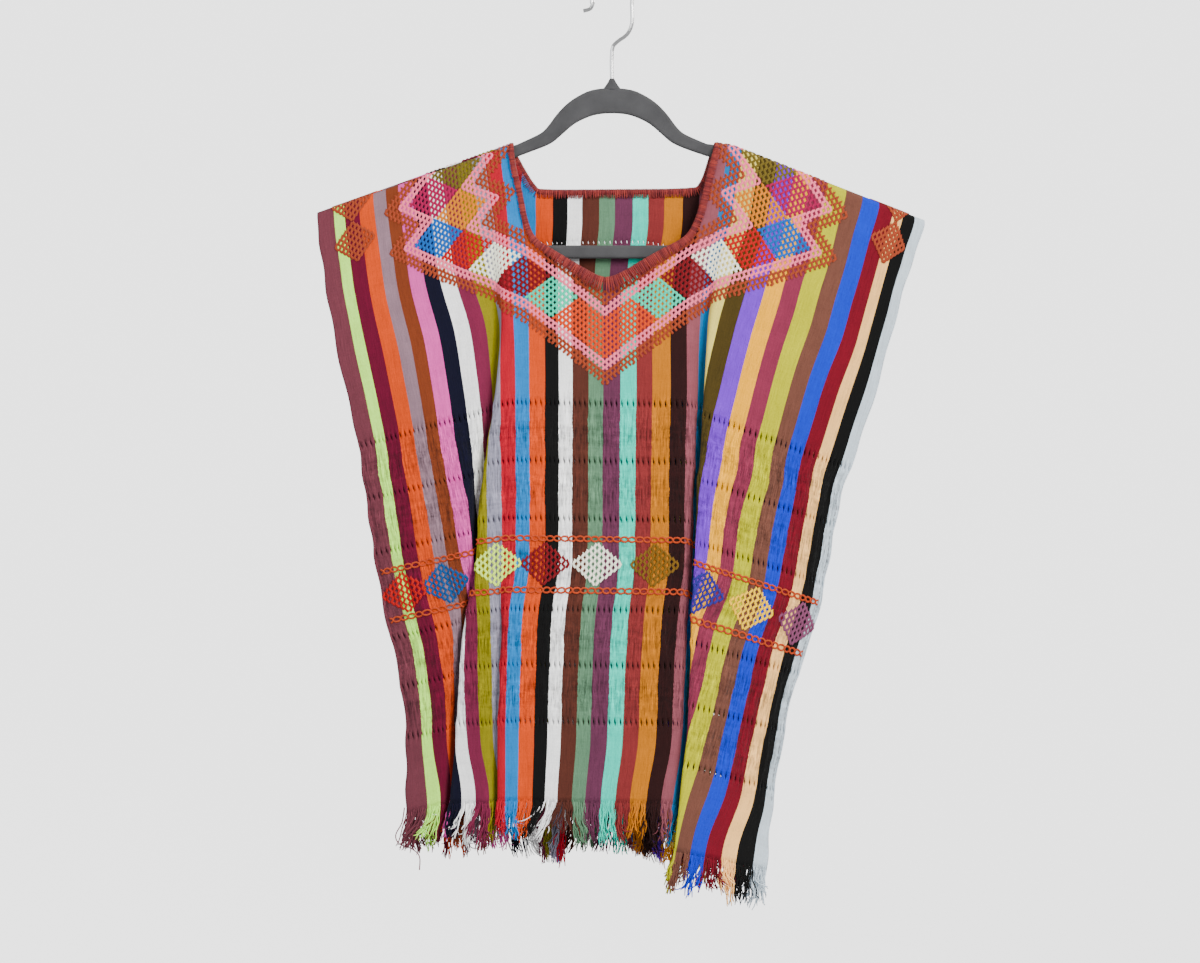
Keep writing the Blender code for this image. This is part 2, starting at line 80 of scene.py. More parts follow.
Weft = namedtuple("Weft", "length middle left_edge left_fold right_fold right_edge depth edge_depth")
WEFTS = [Weft(*row) for row in (
    (0, RIDGE - ROLL_DROP, 57.6, 10, -1, 63.6, 4, 4), (50, 182, 52, 9, 3, 60, 6, 5.5),
    (100, 235, 45, 9, 7, 58, 9, 6), (150, 286, 40, 9, 9, 56, 13, 5), (200, 337, 36, 10, 11, 54, 17, 2),
    (246, 383, 32, 13, 16, 53, 20.5, 0.9), (292, 429, 30, 13, 20, 54, 24, 0.9),
    (330, 466, 29, 14, 21, 54, 26, 0.9), (364, 501, 26, 13, 27, 54, 28, 0.9),
    (408, 545, 21, 11, 33, 56, 30, 0.9), (453, 590, 16, 8, 35, 58, 32, 0.9),
    (485, 622, 14, 6, 38, 58, 33, 2), (HEM, 654, 13, 5, 40, 58, 34, 4),
    (HEM + FRINGE, 688, 12, 5, 42, 56, 34, 5),
)]

Side = namedtuple("Side", "below left right")
SIDES = [Side(*row) for row in (
    (130, -237, 252), (190, -236, 251), (226, -232, 240), (275, -224, 226), (320, -215, 214),
    (368, -204, 199), (416, -197, 183), (464, -190, 174), (512, -181, 164), (560, -170, 148),
    (608, -165, 137), (652, -165, 130), (696, -166, 125), (750, -167, 122),
)]

Fold = namedtuple("Fold", "below x mouth turns_in comes_out")
LEFT_FOLD = [Fold(*row) for row in (
    (130, -98, 20, 11.7, 13.26), (150, -98, 20, 11.5, 13.06), (190, -98, 20, 11.05, 12.63),
    (226, -99, 20, 10.6, 12.42), (275, -97, 16, 9.75, 12.2), (320, -99, 12, 9.2, 11.7),
    (368, -104, 9, 8.4, 11.05), (416, -110, 6, 7.25, 10.5), (464, -112, 5, 6.5, 10.2),
    (512, -121, 5, 4.55, 8.9), (560, -126, 5, 3.6, 8.5), (608, -129, 5, 3.1, 8.0), (652, -133, 5, 2.1, 7.1),
    (720, -138, 5, 1.8, 6.8),
)]
SMALL_FOLD = [Fold(*row) for row in (
    (130, -72, 10, 14.2, 14.98), (150, -72, 10, 14.0, 14.78), (190, -73, 10, 13.6, 14.38),
    (226, -74, 10, 13.2, 14.0), (275, -78, 10, 12.7, 13.48), (320, -82, 10, 12.25, 13.03),
    (368, -85, 10, 11.95, 12.73), (416, -89, 10, 11.55, 12.33), (464, -92, 10, 11.25, 12.04),
    (512, -91, 8, 11.25, 12.6), (560, -94, 6, 10.9, 12.35), (608, -95, 5, 10.7, 12.3),
    (652, -95, 5, 10.0, 12.25), (720, -97, 5, 10.0, 12.4),
)]
RIGHT_FOLD = [Fold(*row) for row in (
    (130, 88, 20, 23.85, 25.41), (150, 86, 20, 23.93, 25.49), (190, 82, 20, 24.1, 25.68),
    (226, 77, 20, 24.4, 26.2), (275, 70, 14, 24.4, 26.45), (320, 68, 10, 24.4, 26.95),
    (368, 67, 7, 24.55, 27.6), (416, 63, 6, 24.3, 27.85), (464, 62, 5, 24.3, 28.1),
    (512, 59, 5, 24.5, 29.4), (560, 58, 5, 24.7, 30.2), (608, 55, 5, 24.6, 31.0), (652, 51, 5, 25.0, 31.65),
    (696, 45, 5, 25.0, 31.9), (740, 39, 5, 25.0, 32.1),
)]
BackFold = namedtuple("BackFold", "top_x hem_x share left_drop right_drop")
BACK_FOLDS = [BackFold(*row) for row in (
    (-72, -58, 0.42, 0.3, 0.0), (22, 12, 0.40, 0.0, 0.0), (92, 92, 0.18, 0.0, 0.35),
)]

NeckPoint = namedtuple("NeckPoint", "x below")
FRONT_NECK = [NeckPoint(*row) for row in (
    (-79, 149), (-74, 170), (-69, 194), (-62, 208), (-49, 217), (-30, 228.5), (-14, 237.5), (-4, 240),
    (7, 236.5), (21, 228.5), (40, 217.5), (59, 207), (68, 193), (74, 173), (79, 152),
)]
BACK_NECK = [NeckPoint(*row) for row in (
    (80, 143), (72, 165), (60, 170), (0, 171), (-52, 171), (-63, 167), (-77, 144),
)]
BINDING = 2.5
NECK_LEFT = -81.0
NECK_RIGHT = 84.0
WALL = 1.5
ARM_THICKNESS = 5.0
ARM_CLEAR = 0.3

# ---------------- the yarns and the stripes

YARNS = {
    "mauve": (99, 46, 57), "pale_green": (181, 243, 93), "burgundy": (91, 5, 37), "orange": (199, 64, 5),
    "mauve_grey": (129, 102, 113), "brown": (111, 48, 22), "pink": (206, 72, 155), "navy": (5, 5, 28),
    "white": (243, 243, 243), "maroon_rose": (108, 27, 57), "mustard": (124, 117, 5),
    "grey": (133, 131, 148), "crimson": (164, 5, 33), "bright_blue": (5, 111, 179), "black": (5, 5, 5),
    "chestnut": (75, 36, 27), "grey_green": (83, 120, 92), "plum": (89, 41, 66), "aqua": (5, 201, 176),
    "rust_red": (117, 37, 38), "golden": (176, 103, 5), "dark_brown": (35, 9, 9),
    "dusty_rose": (126, 66, 76), "sea_blue": (5, 100, 156), "cream": (210, 193, 94),
    "dark_olive": (62, 49, 13), "lavender": (107, 39, 193), "light_orange": (231, 159, 5),
    "rose": (120, 38, 62), "yellow": (172, 170, 5), "brown_mauve": (98, 59, 47), "blue": (5, 43, 185),
    "dark_crimson": (104, 5, 26), "silver": (189, 203, 213), "peach": (243, 186, 113),
}
Stripe = namedtuple("Stripe", "yarn width")
ORDER = [Stripe(*row) for row in (
    ("mauve", 16.5), ("pale_green", 12.5), ("burgundy", 14.5), ("orange", 16), ("mauve_grey", 13.8),
    ("brown", 14.3), ("pink", 15.5), ("navy", 16), ("white", 16.5), ("maroon_rose", 15.5), ("mustard", 15),
    ("grey", 14.4), ("crimson", 13.5), ("bright_blue", 12.5), ("orange", 15.6), ("black", 13),
    ("white", 15.4), ("chestnut", 15), ("grey_green", 15.8), ("plum", 15.8), ("aqua", 17),
    ("rust_red", 15.4), ("golden", 16.4), ("dark_brown", 16.6), ("dusty_rose", 14), ("sea_blue", 14.5),
    ("cream", 15.5), ("dark_olive", 15.5), ("lavender", 14.5), ("light_orange", 16), ("rose", 17.5),
    ("yellow", 17), ("brown_mauve", 15.8), ("blue", 16), ("dark_crimson", 15.3), ("peach", 15),
    ("black", 14.5), ("silver", 15),
)]
WIDTHS = np.array([stripe.width for stripe in ORDER])
STRIPE_EDGES = np.concatenate([[0.0], np.cumsum(WIDTHS)]) * CLOTH_WIDTH / WIDTHS.sum()


def paint(rgb):
    """A colour in 0-255 steps as the linear values that shaders take."""
    return (*((c / 255 / 12.92) if c <= 10 else ((c / 255 + 0.055) / 1.055) ** 2.4 for c in rgb), 1.0)


def across(stripes):
    """The place u of a count of stripes from the left selvedge."""
    return float(np.interp(stripes, np.arange(STRIPES + 1), STRIPE_EDGES))


# ---------------- the cloth's surface

def unit(vectors):
    return vectors / np.maximum(np.linalg.norm(vectors, axis=-1, keepdims=True), 1e-9)


def lengths_along(path):
    """The length of a path up to each of its points."""
    return np.concatenate([[0.0], np.cumsum(np.linalg.norm(np.diff(path, axis=0), axis=1))])


def slopes(places, values):
    """Slopes for a curve through the values that never swings past them."""
    chords = [(b - a) / (q - p) for a, b, p, q in zip(values, values[1:], places, places[1:])]
    inner = [0.0 if a * b <= 0 else 2 * a * b / (a + b) for a, b in zip(chords, chords[1:])]
    return [chords[0], *inner, chords[-1]]


def read(table, column, at):
    """The value of a table's column at a place in its first column, on a smooth curve."""
    places = [row[0] for row in table]
    values = [getattr(row, column) for row in table]
    at = min(max(at, places[0]), places[-1])
    i = max(0, min(len(places) - 2, sum(place <= at for place in places) - 1))
    span = places[i + 1] - places[i]
    t = (at - places[i]) / span
    slope = slopes(places, values)
    return (
        values[i] * (1 + 2 * t) * (1 - t) ** 2
        + slope[i] * span * t * (1 - t) ** 2
        + values[i + 1] * t * t * (3 - 2 * t)
        - slope[i + 1] * span * t * t * (1 - t)
    )


def sides(below):
    return read(SIDES, "left", below), read(SIDES, "right", below)


def panel_depth(x, below, depth, edge_depth):
    left, right = sides(below)
    inset = min(x - left, right - x)
    share = min(max(inset / EDGE_REACH, 0.0), 1.0)
    return edge_depth + (depth - edge_depth) * math.sin(share * math.pi / 2)


def back_fold(number, below):
    left, right = sides(below)
    spare = max(0.0, CLOTH_WIDTH - (right - left) - 2 * BACK_EDGE_TURN)
    down = min(max((below - RIDGE) / HEM, 0.0), 1.0)
    mouth = BACK_MOUTH[0] + (BACK_MOUTH[1] - BACK_MOUTH[0]) * min(1.0, down * 2)
    fold = BACK_FOLDS[number]
    taken = sum(other.share for other in BACK_FOLDS[:number]) * spare
    middle = fold.top_x + (fold.hem_x - fold.top_x) * down
    flat = (CLOTH_WIDTH - spare) / (right - left)
    turns_in = ((middle - mouth / 2 - left) * flat + taken) / STRIPE
    comes_out = turns_in + (mouth * flat + fold.share * spare) / STRIPE
    return Fold(below, middle, mouth, turns_in, comes_out)


def front_fold(table, below):
    return Fold(below, *(read(table, column, below) for column in Fold._fields[1:]))


def fold_corners(find, over, under, depth_over, depth_under, lip):
    """The four sharp corners of a fold, each as x, how far out, how far below and its place u."""
    first, second = find(over), find(under)
    turn, out = first.x - first.mouth / 2, second.x + second.mouth / 2
    taken = (second.comes_out - second.turns_in + first.comes_out - first.turns_in) / 2
    walls = taken * STRIPE - FOLD_FLOOR
    flare = (first.mouth + second.mouth) / 2 - FOLD_FLOOR
    spare = math.sqrt(max(walls * walls - flare * flare, 0.0))
    stand = (depth_over + depth_under + lip) / 2
    bottom = stand - spare * math.cos(FOLD_LEAN) / 2
    middle = (turn + out) / 2 + (stand - bottom) * math.tan(FOLD_LEAN)
    u_in, u_out = across(first.turns_in), across(second.comes_out)
    half_floor = FOLD_FLOOR / (walls + FOLD_FLOOR) / 2
    floor = []
    for side in (-1, 1):
        below = over * (0.5 - 0.05 * side) + under * (0.5 + 0.05 * side)
        u = u_in + (u_out - u_in) * (0.5 + side * half_floor)
        floor.append((middle + side * FOLD_FLOOR / 2, bottom, below, u))
    return [(turn, depth_over, over, u_in), *floor, (out, depth_under + lip, under, u_out)]


def weft_corners(length, back):
    """The sharp corners of a weft line, from the left selvedge to the right."""
    weft = Weft(length, *(read(WEFTS, column, length) for column in Weft._fields[1:]))
    scale = BACK_DEPTH if back else 1.0
    middle = weft.middle + (BACK_SAG * (length / HEM) ** 2 if back else 0.0)
    left, right = sides(middle)
    places = [left, LEFT_FOLD[0].x, -SHOULDER_FLAT, SHOULDER_FLAT, RIGHT_FOLD[0].x, right]
    drops = [weft.left_edge, weft.left_fold, 0.0, 0.0, weft.right_fold, weft.right_edge]
    own = min(1.0, length / SHOULDER_BLEND)

    def levelled(below, x):
        """Near the shoulder fold the front and the back hang at the same level."""
        common = weft.middle + float(np.interp(x, places, drops))
        return common + (below - common) * own

    def corners(find, over, under, lip=0.0):
        first, second = find(over), find(under)
        turn, out = first.x - first.mouth / 2, second.x + second.mouth / 2
        levels = levelled(over, turn), levelled(under, out)
        depths = [
            panel_depth(x, below, weft.depth * scale, weft.edge_depth)
            for x, below in zip((turn, out), levels)
        ]
        return fold_corners(find, *levels, *depths, lip * min(1.0, length / LIP_RISE))

    left_below, right_below = weft.middle + weft.left_edge, weft.middle + weft.right_edge
    found = [(sides(left_below)[0], weft.edge_depth, left_below, 0.0)]
    if back:
        for number, fold in enumerate(BACK_FOLDS):
            level = middle + weft.left_fold * fold.left_drop + weft.right_edge * fold.right_drop
            found += corners(lambda below, n=number: back_fold(n, below), level, level)
    else:
        folds = (
            (LEFT_FOLD, weft.left_fold, 4, 0),
            (SMALL_FOLD, 3, 1, 0),
            (RIGHT_FOLD, 3, weft.right_fold, RIGHT_LIP),
        )
        for table, over, under, lip in folds:
            levels = middle + over, middle + under
            found += corners(lambda below, t=table: front_fold(t, below), *levels, lip)
    edge = (sides(right_below)[1], weft.edge_depth, right_below, CLOTH_WIDTH)
    if not back:
        lip = found[-1]
        for share, column in zip(LAY_SHARES, ("near", "far")):
            place = [a + (b - a) * share for a, b in zip(lip, edge)]
            found.append((*place[:3], place[3] - read(RIGHT_LAY, column, length)))
    found.append(edge)
    return found


# The cloth right of the folds lies unevenly: by how much u falls short at each share of its width
Lay = namedtuple("Lay", "length near far")
RIGHT_LAY = [Lay(*row) for row in (
    (0, 6, 10.5), (100, 6, 10.5), (150, 4, 5.5), (205, 5, 5), (232, 7, 7.5), (250, 4.5, 7), (290, 1.5, 6.5),
    (330, 2.5, 5), (395, 3.5, 8), (430, 4.5, 8), (462, 5.5, 7.5), (508, -3, -0.5), (HEM + FRINGE, -4, -1),
)]
LAY_SHARES = (0.38, 0.8)

LINE_SAMPLES = 900
U_STEP = 1.0
V_STEP = 2.0
ROLL_KNOTS = [0.0, 1.0, 2.0, 3.0, 4.0, 5.0, ROLL * math.pi / 2]
BACK_SHIFT = 4.6  # how far left the back's stripes lie, but for its edges
BACK_SHIFT_REACH = 120.0
BACK_SHIFT_LENGTH = 42.0


def weft_line(length, back, places):
    """Points of a weft line in millimetres at the given places u across the cloth."""
    arc = ROLL * math.pi / 2
    corners = np.array(weft_corners(max(length, arc), back))
    lengths = lengths_along(corners[:, :3])
    along = np.linspace(0.0, lengths[-1], LINE_SAMPLES)
    reach = np.minimum(BEND, np.minimum(along, lengths[-1] - along))
    line = np.zeros((LINE_SAMPLES, 4))
    for offset, weight in BEND_WEIGHTS:
        for axis in range(4):
            line[:, axis] += weight * np.interp(along + offset * reach, lengths, corners[:, axis])
    if back:
        inward = np.clip(np.minimum(line[:, 3], CLOTH_WIDTH - line[:, 3]) / BACK_SHIFT_REACH, 0.0, 1.0)
        line[:, 3] += BACK_SHIFT * inward * min(1.0, length / BACK_SHIFT_LENGTH)
    x, out, below = (np.interp(places, line[:, 3], line[:, axis]) for axis in range(3))
    if length < arc:
        turn = length / ROLL
        out = out * math.sin(turn)
        below = below - ROLL * math.cos(turn)
    return np.stack([x, out if back else -out, -below], axis=1)


def window(t):
    """1 in the middle of -1 to 1, and smoothly 0 at its ends."""
    return np.clip(1.0 - t * t, 0.0, 1.0) ** 2


# A soft crease: its middle in the cloth, how far it runs up and down from there, how far its foot lies to
# the right of its top, its width, and how far it stands out (a trough where that is negative)
Crease = namedtuple("Crease", "u v reach lean width height")
FRONT_CREASES = [Crease(*row) for row in (
    (66, 190, 150, 26, 15, 2.4), (100, 235, 130, 12, 10, -2.2), (30, 330, 110, 8, 9, 1.6),
    (50, 430, 95, -6, 11, -1.8), (160, 300, 120, -10, 12, 2.2), (182, 410, 110, 5, 9, -1.8),
    (212, 330, 150, -6, 14, 2.0), (236, 240, 70, 4, 10, -1.6), (250, 430, 90, 8, 13, 1.9),
    (276, 330, 130, -4, 11, -1.9), (300, 210, 110, -12, 13, 2.0), (366, 170, 110, -26, 14, 2.2),
    (392, 250, 120, -22, 11, -2.2), (420, 330, 130, -18, 12, 2.0), (450, 420, 95, -8, 10, -1.7),
    (404, 450, 80, 6, 9, 1.6),
)]
BACK_CREASES = [Crease(*row) for row in (
    (40, 210, 150, 22, 13, 2.0), (78, 330, 140, 10, 10, -2.0), (112, 240, 120, 4, 15, 1.8),
    (136, 420, 90, -8, 11, -1.7), (196, 300, 150, 8, 12, 2.2), (222, 190, 90, -4, 9, -1.6),
    (290, 340, 140, -6, 14, 2.1), (316, 220, 110, 6, 10, -1.8), (350, 430, 85, -5, 12, 1.6),
    (398, 230, 140, -20, 13, 2.1), (436, 330, 130, -14, 10, -1.9), (460, 430, 90, -6, 11, 1.5),
)]
EYELET_ROWS = [200.0, 246.0, 292.0, 364.0, 408.0, 453.0]
Ripple = namedtuple("Ripple", "wave height drift")
RIPPLES = [Ripple(7.3, 0.3, 0.7), Ripple(10.9, 0.4, 1.9), Ripple(17.0, 0.5, 3.1)]
SEAM_TOP = 238.0
SEAM_FOOT = 462.0
SEAM_IN = 3.4  # the side seam's groove from the selvedge
SEAM_DIP = 0.8
EDGE_WAVER = 0.7


def relief(u, v, back):
    """How far creases, ripples and seams lift the cloth at each u and v."""
    lift = np.zeros(np.broadcast(u, v).shape)
    for crease in BACK_CREASES if back else FRONT_CREASES:
        middle = crease.u + crease.lean * (v - crease.v) / (2 * crease.reach)
        rise = crease.height * window((v - crease.v) / crease.reach)
        lift = lift + rise * np.exp(-(((u - middle) / crease.width) ** 2))
    for above, under in zip(EYELET_ROWS, EYELET_ROWS[1:]):
        half = (under - above) / 2
        inside = window((v - (above + under) / 2) / (half + 4.0))
        for number, ripple in enumerate(RIPPLES):
            phase = ripple.drift * above + number + 0.9 * np.sin(v / (9.0 + 3.0 * number) + u / 37.0)
            lift = lift + ripple.height * inside * np.sin(2 * math.pi * u / ripple.wave + phase)
    from_middle = np.abs(v - (SEAM_TOP + SEAM_FOOT) / 2) / ((SEAM_FOOT - SEAM_TOP) / 2)
    sewn = window(np.clip((from_middle - 0.9) * 10, 0, 1))
    edge = np.minimum(u, CLOTH_WIDTH - u)
    return lift - SEAM_DIP * sewn * np.exp(-(((edge - SEAM_IN) / 1.4) ** 2))


def place_in(knots, at):
    """Which gap between the knots each place lies in, and how far across that gap."""
    at = np.clip(np.asarray(at, float), knots[0], knots[-1])
    i = np.clip(np.searchsorted(knots, at, "right") - 1, 0, len(knots) - 2)
    return i, ((at - knots[i]) / (knots[i + 1] - knots[i]))[..., None]


class Panel:
    """One half of the cloth as a smooth surface over u and v, in millimetres."""

    def __init__(self, back):
        self.back = back
        self.u = np.arange(0.0, CLOTH_WIDTH + U_STEP / 2, U_STEP)
        self.v = np.concatenate([ROLL_KNOTS, np.arange(8.0, HEM + FRINGE + V_STEP / 2, V_STEP)])
        base = np.array([weft_line(length, back, self.u) for length in self.v])
        u, v = self.u[None, :], self.v[:, None]
        settled = np.clip((v - ROLL_KNOTS[-1]) / 20.0, 0.0, 1.0)
        self.points = base + self.outward(base) * (relief(u, v, back) * settled)[:, :, None]
        edge = np.minimum(u, CLOTH_WIDTH - u)
        beat = v / 7.3 + 1.6 * np.sin(v / 41.0) + (u > 200) * 1.7
        self.points[:, :, 0] += EDGE_WAVER * np.sin(beat) * np.exp(-edge / 14.0) * settled
        self.normals = self.outward(self.points)

    def outward(self, points):
        across_cloth = np.gradient(points, self.u, axis=1)
        down_cloth = np.gradient(points, self.v, axis=0)
        return unit(np.cross(across_cloth, down_cloth) * (1.0 if self.back else -1.0))

    def blend(self, grid, u, v):
        (i, s), (j, t) = place_in(self.v, v), place_in(self.u, u)
        upper = grid[i, j] * (1 - t) + grid[i, j + 1] * t
        lower = grid[i + 1, j] * (1 - t) + grid[i + 1, j + 1] * t
        return upper * (1 - s) + lower * s

    def at(self, u, v, lift=0.0):
        lift = np.asarray(lift, float)[..., None]
        return self.blend(self.points, u, v) + self.normal(u, v) * lift

    def normal(self, u, v):
        return unit(self.blend(self.normals, u, v))

    def find(self, x, below):
        """The place u, v that shows at x and a distance below the hook's seat."""
        gap = np.hypot(self.points[:, :, 0] - x, self.points[:, :, 2] + below)
        facing = self.normals[:, :, 1] * (1.0 if self.back else -1.0)
        gap = gap + np.where(facing > 0.3, 0.0, 50.0)
        i, j = np.unravel_index(np.argmin(gap), gap.shape)
        u, v = self.u[j], self.v[i]
        for _ in range(4):
            here = self.at(u, v)
            step_u = (self.at(u + 0.5, v) - self.at(u - 0.5, v))[[0, 2]]
            step_v = (self.at(u, v + 0.5) - self.at(u, v - 0.5))[[0, 2]]
            miss = np.array([x - here[0], -below - here[2]])
            change = np.linalg.solve(np.stack([step_u, step_v], axis=1), miss)
            u, v = (u, v) + np.clip(change, -2, 2)
        return min(max(u, 0.0), CLOTH_WIDTH), max(v, 0.0)


FRONT = Panel(False)
BACK = Panel(True)


# ---------------- meshes and materials

def stand(name, data):
    """A new object in the scene."""
    made = bpy.data.objects.new(name, data)
    bpy.context.scene.collection.objects.link(made)
    return made


def new_object(name, mesh, finishes):
    for finish in finishes:
        mesh.materials.append(finish)
    return stand(name, mesh)


def build_mesh(name, points, faces, uvs, finish_numbers=0):
    """A smooth mesh from points in millimetres, arrays of faces and a UV pair for each face's corners."""
    mesh = bpy.data.meshes.new(name)
    corners = np.concatenate([block.ravel() for block in faces]).astype(np.int32)
    totals = np.concatenate([np.full(len(block), block.shape[1]) for block in faces])
    numbers = np.broadcast_to(finish_numbers, len(totals))
    mesh.vertices.add(len(points))
    mesh.vertices.foreach_set("co", (points * MM).astype(np.float32).ravel())
    mesh.loops.add(len(corners))
    mesh.loops.foreach_set("vertex_index", corners)
    mesh.polygons.add(len(totals))
    mesh.polygons.foreach_set("loop_start", (np.cumsum(totals) - totals).astype(np.int32))
    mesh.polygons.foreach_set("use_smooth", np.ones(len(totals), bool))
    mesh.polygons.foreach_set("material_index", numbers.astype(np.int32))
    mesh.uv_layers.new(name="cloth").uv.foreach_set("vector", uvs.astype(np.float32).ravel())
    mesh.update(calc_edges=True)
    return mesh


class Threads:
    """Many tubes in one mesh. Each follows a path with its own width, height and finish."""

    def __init__(self, sides=6):
        self.sides = sides
        self.tubes = []
        self.count = 0

    def add(self, path, normals, widths, heights, finish, uv=None):
        """A tube along path, in millimetres. uv is its place in the cloth, or None for its own length."""
        count, sides = len(path), self.sides
        along = unit(np.gradient(path, axis=0))
        side = unit(np.cross(normals, along))
        up = np.cross(along, side)
        k = np.arange(sides)
        angles = (k * 2 * math.pi / sides)[:, None]
        wide, high = (np.broadcast_to(size, count)[:, None, None] / 2 for size in (widths, heights))
        ring = side[:, None] * np.cos(angles) * wide + up[:, None] * np.sin(angles) * high
        row = np.arange(count - 1)[:, None] * sides + self.count
        following = row + (k + 1) % sides
        quads = np.stack([row + k, following, following + sides, row + k + sides], axis=-1)
        caps = np.array([self.count + k[::-1], self.count + (count - 1) * sides + k])
        if uv is None:
            run = lengths_along(path)
            ranges = run[:-1, None], run[1:, None], k / sides, (k + 1) / sides
            near, far, low, high = np.broadcast_arrays(*ranges)
            corners = np.stack([near, low, near, high, far, high, far, low], axis=-1)
            ends = np.zeros((2 * sides, 2))
        else:
            places = np.repeat(np.asarray(uv, float) / CLOTH_WIDTH, sides, axis=0)
            near, far = places[:-sides], places[sides:]
            corners = np.concatenate([near, near, far, far], axis=-1)
            ends = np.concatenate([places[:sides], places[-sides:]])
        self.tubes.append((
            (path[:, None] + ring).reshape(-1, 3), quads.reshape(-1, 4), caps, corners.reshape(-1, 2), ends,
            np.full((count - 1) * sides, finish), np.full(2, finish),
        ))
        self.count += count * sides

    def build(self, name, finishes):
        points, quads, caps, corners, ends, *numbers = map(np.concatenate, zip(*self.tubes))
        uvs = np.concatenate([corners, ends])
        mesh = build_mesh(name, points, [quads, caps], uvs, np.concatenate(numbers))
        return new_object(name, mesh, finishes)


class Nodes:
    """Short ways to add nodes to a material."""

    def __init__(self, name):
        self.material = bpy.data.materials.new(name)
        self.material.use_nodes = True
        self.tree = self.material.node_tree
        self.shader = self.tree.nodes["Principled BSDF"]

    def add(self, kind, inputs=None, **settings):
        node = self.tree.nodes.new("ShaderNode" + kind)
        for key, value in settings.items():
            setattr(node, key, value)
        for key, value in (inputs or {}).items():
            self.put(value, node.inputs[key])
        return node

    def put(self, value, socket):
        if isinstance(value, bpy.types.NodeSocket):
            self.tree.links.new(value, socket)
        else:
            socket.default_value = value

    def cloth_place(self):
        """The mesh's two texture measures."""
        uv = self.add("UVMap", uv_map="cloth").outputs["UV"]
        return self.add("SeparateXYZ", {0: uv}).outputs[:2]

    def place(self):
        return self.add("TexCoord").outputs["Object"]

    def math(self, operation, a, b=0.0):
        return self.add("Math", {0: a, 1: b}, operation=operation).outputs[0]

    def times(self, a, b):
        return self.math("MULTIPLY", a, b)

    def total(self, *values):
        found = values[0]
        for value in values[1:]:
            found = self.math("ADD", found, value)
        return found

    def spread(self, value, amount):
        """A noise of 0 to 1 as a swing of the given width round 0."""
        return self.times(self.math("SUBTRACT", value, 0.5), amount)

    def mix(self, share, a, b, blend="MIX"):
        node = self.add("Mix", {"Factor": share}, data_type="RGBA", blend_type=blend)
        self.put(a, node.inputs["A"])
        self.put(b, node.inputs["B"])
        return node.outputs["Result"]

    def shaded(self, colour, shade):
        tone = self.add("CombineXYZ", {axis: shade for axis in range(3)}).outputs[0]
        return self.mix(1.0, colour, tone, "MULTIPLY")

    def ramp(self, value, interpolation, stops):
        """The colours of a ramp that is given by its stops' positions and colours."""
        node = self.add("ValToRGB", {"Fac": value})
        node.color_ramp.interpolation = interpolation
        elements = node.color_ramp.elements
        for number, (position, colour) in enumerate(stops):
            stop = elements[number] if number < 2 else elements.new(position)
            stop.position, stop.color = position, colour
        return node.outputs["Color"]

    def noise(self, vector, scale, detail=2.0, roughness=0.5):
        inputs = {"Vector": vector, "Scale": scale, "Detail": detail, "Roughness": roughness}
        return self.add("TexNoise", inputs).outputs["Fac"]

    def bump(self, height, distance, strength=1.0, **normal):
        inputs = {"Height": height, "Distance": distance, "Strength": strength, **normal}
        return self.add("Bump", inputs).outputs["Normal"]

    def finish(self, **sockets):
        for name, value in sockets.items():
            self.put(value, self.shader.inputs[name.replace("_", " ")])
        return self.material


def grey(value):
    return (value, value, value, 1.0)


def stripes_colour(nodes, place):
    """The stripes' colours by their places across the cloth: two stepped ramps, one for each half."""
    starts = STRIPE_EDGES[:-1] / CLOTH_WIDTH
    half = STRIPES // 2
    halves = []
    for start in (0, half):
        dyes = [paint(YARNS[stripe.yarn]) for stripe in ORDER[start:start + half]]
        places = [0.0, *starts[start + 1:start + half]]
        halves.append(nodes.ramp(place, "CONSTANT", zip(places, dyes)))
    return nodes.mix(nodes.math("GREATER_THAN", place, starts[half]), *halves)


WARP_PITCH = 0.62
WEFT_PITCH = 0.85
COTTON_SHEEN = {"Sheen_Weight": 0.03, "Sheen_Roughness": 0.5}


def row_share(nodes, v):
    """How crinkled the cloth is at a length v, and so how strong its painted crinkle shade is: most between
    two eyelet rows, not at all outside them.
    """
    shares = [(0.0, 0.0), (EYELET_ROWS[0] - 14, 0.0)]
    for above, under in zip(EYELET_ROWS, EYELET_ROWS[1:]):
        shares += [(above, 0.35), ((above + under) / 2, 1.0)]
    shares += [(EYELET_ROWS[-1], 0.35), (EYELET_ROWS[-1] + 16, 0.0)]
    stops = [(length / HEM, grey(share)) for length, share in shares]
    colour = nodes.ramp(nodes.math("DIVIDE", v, HEM), "EASE", stops)
    return nodes.add("RGBToBW", {"Color": colour}).outputs[0]


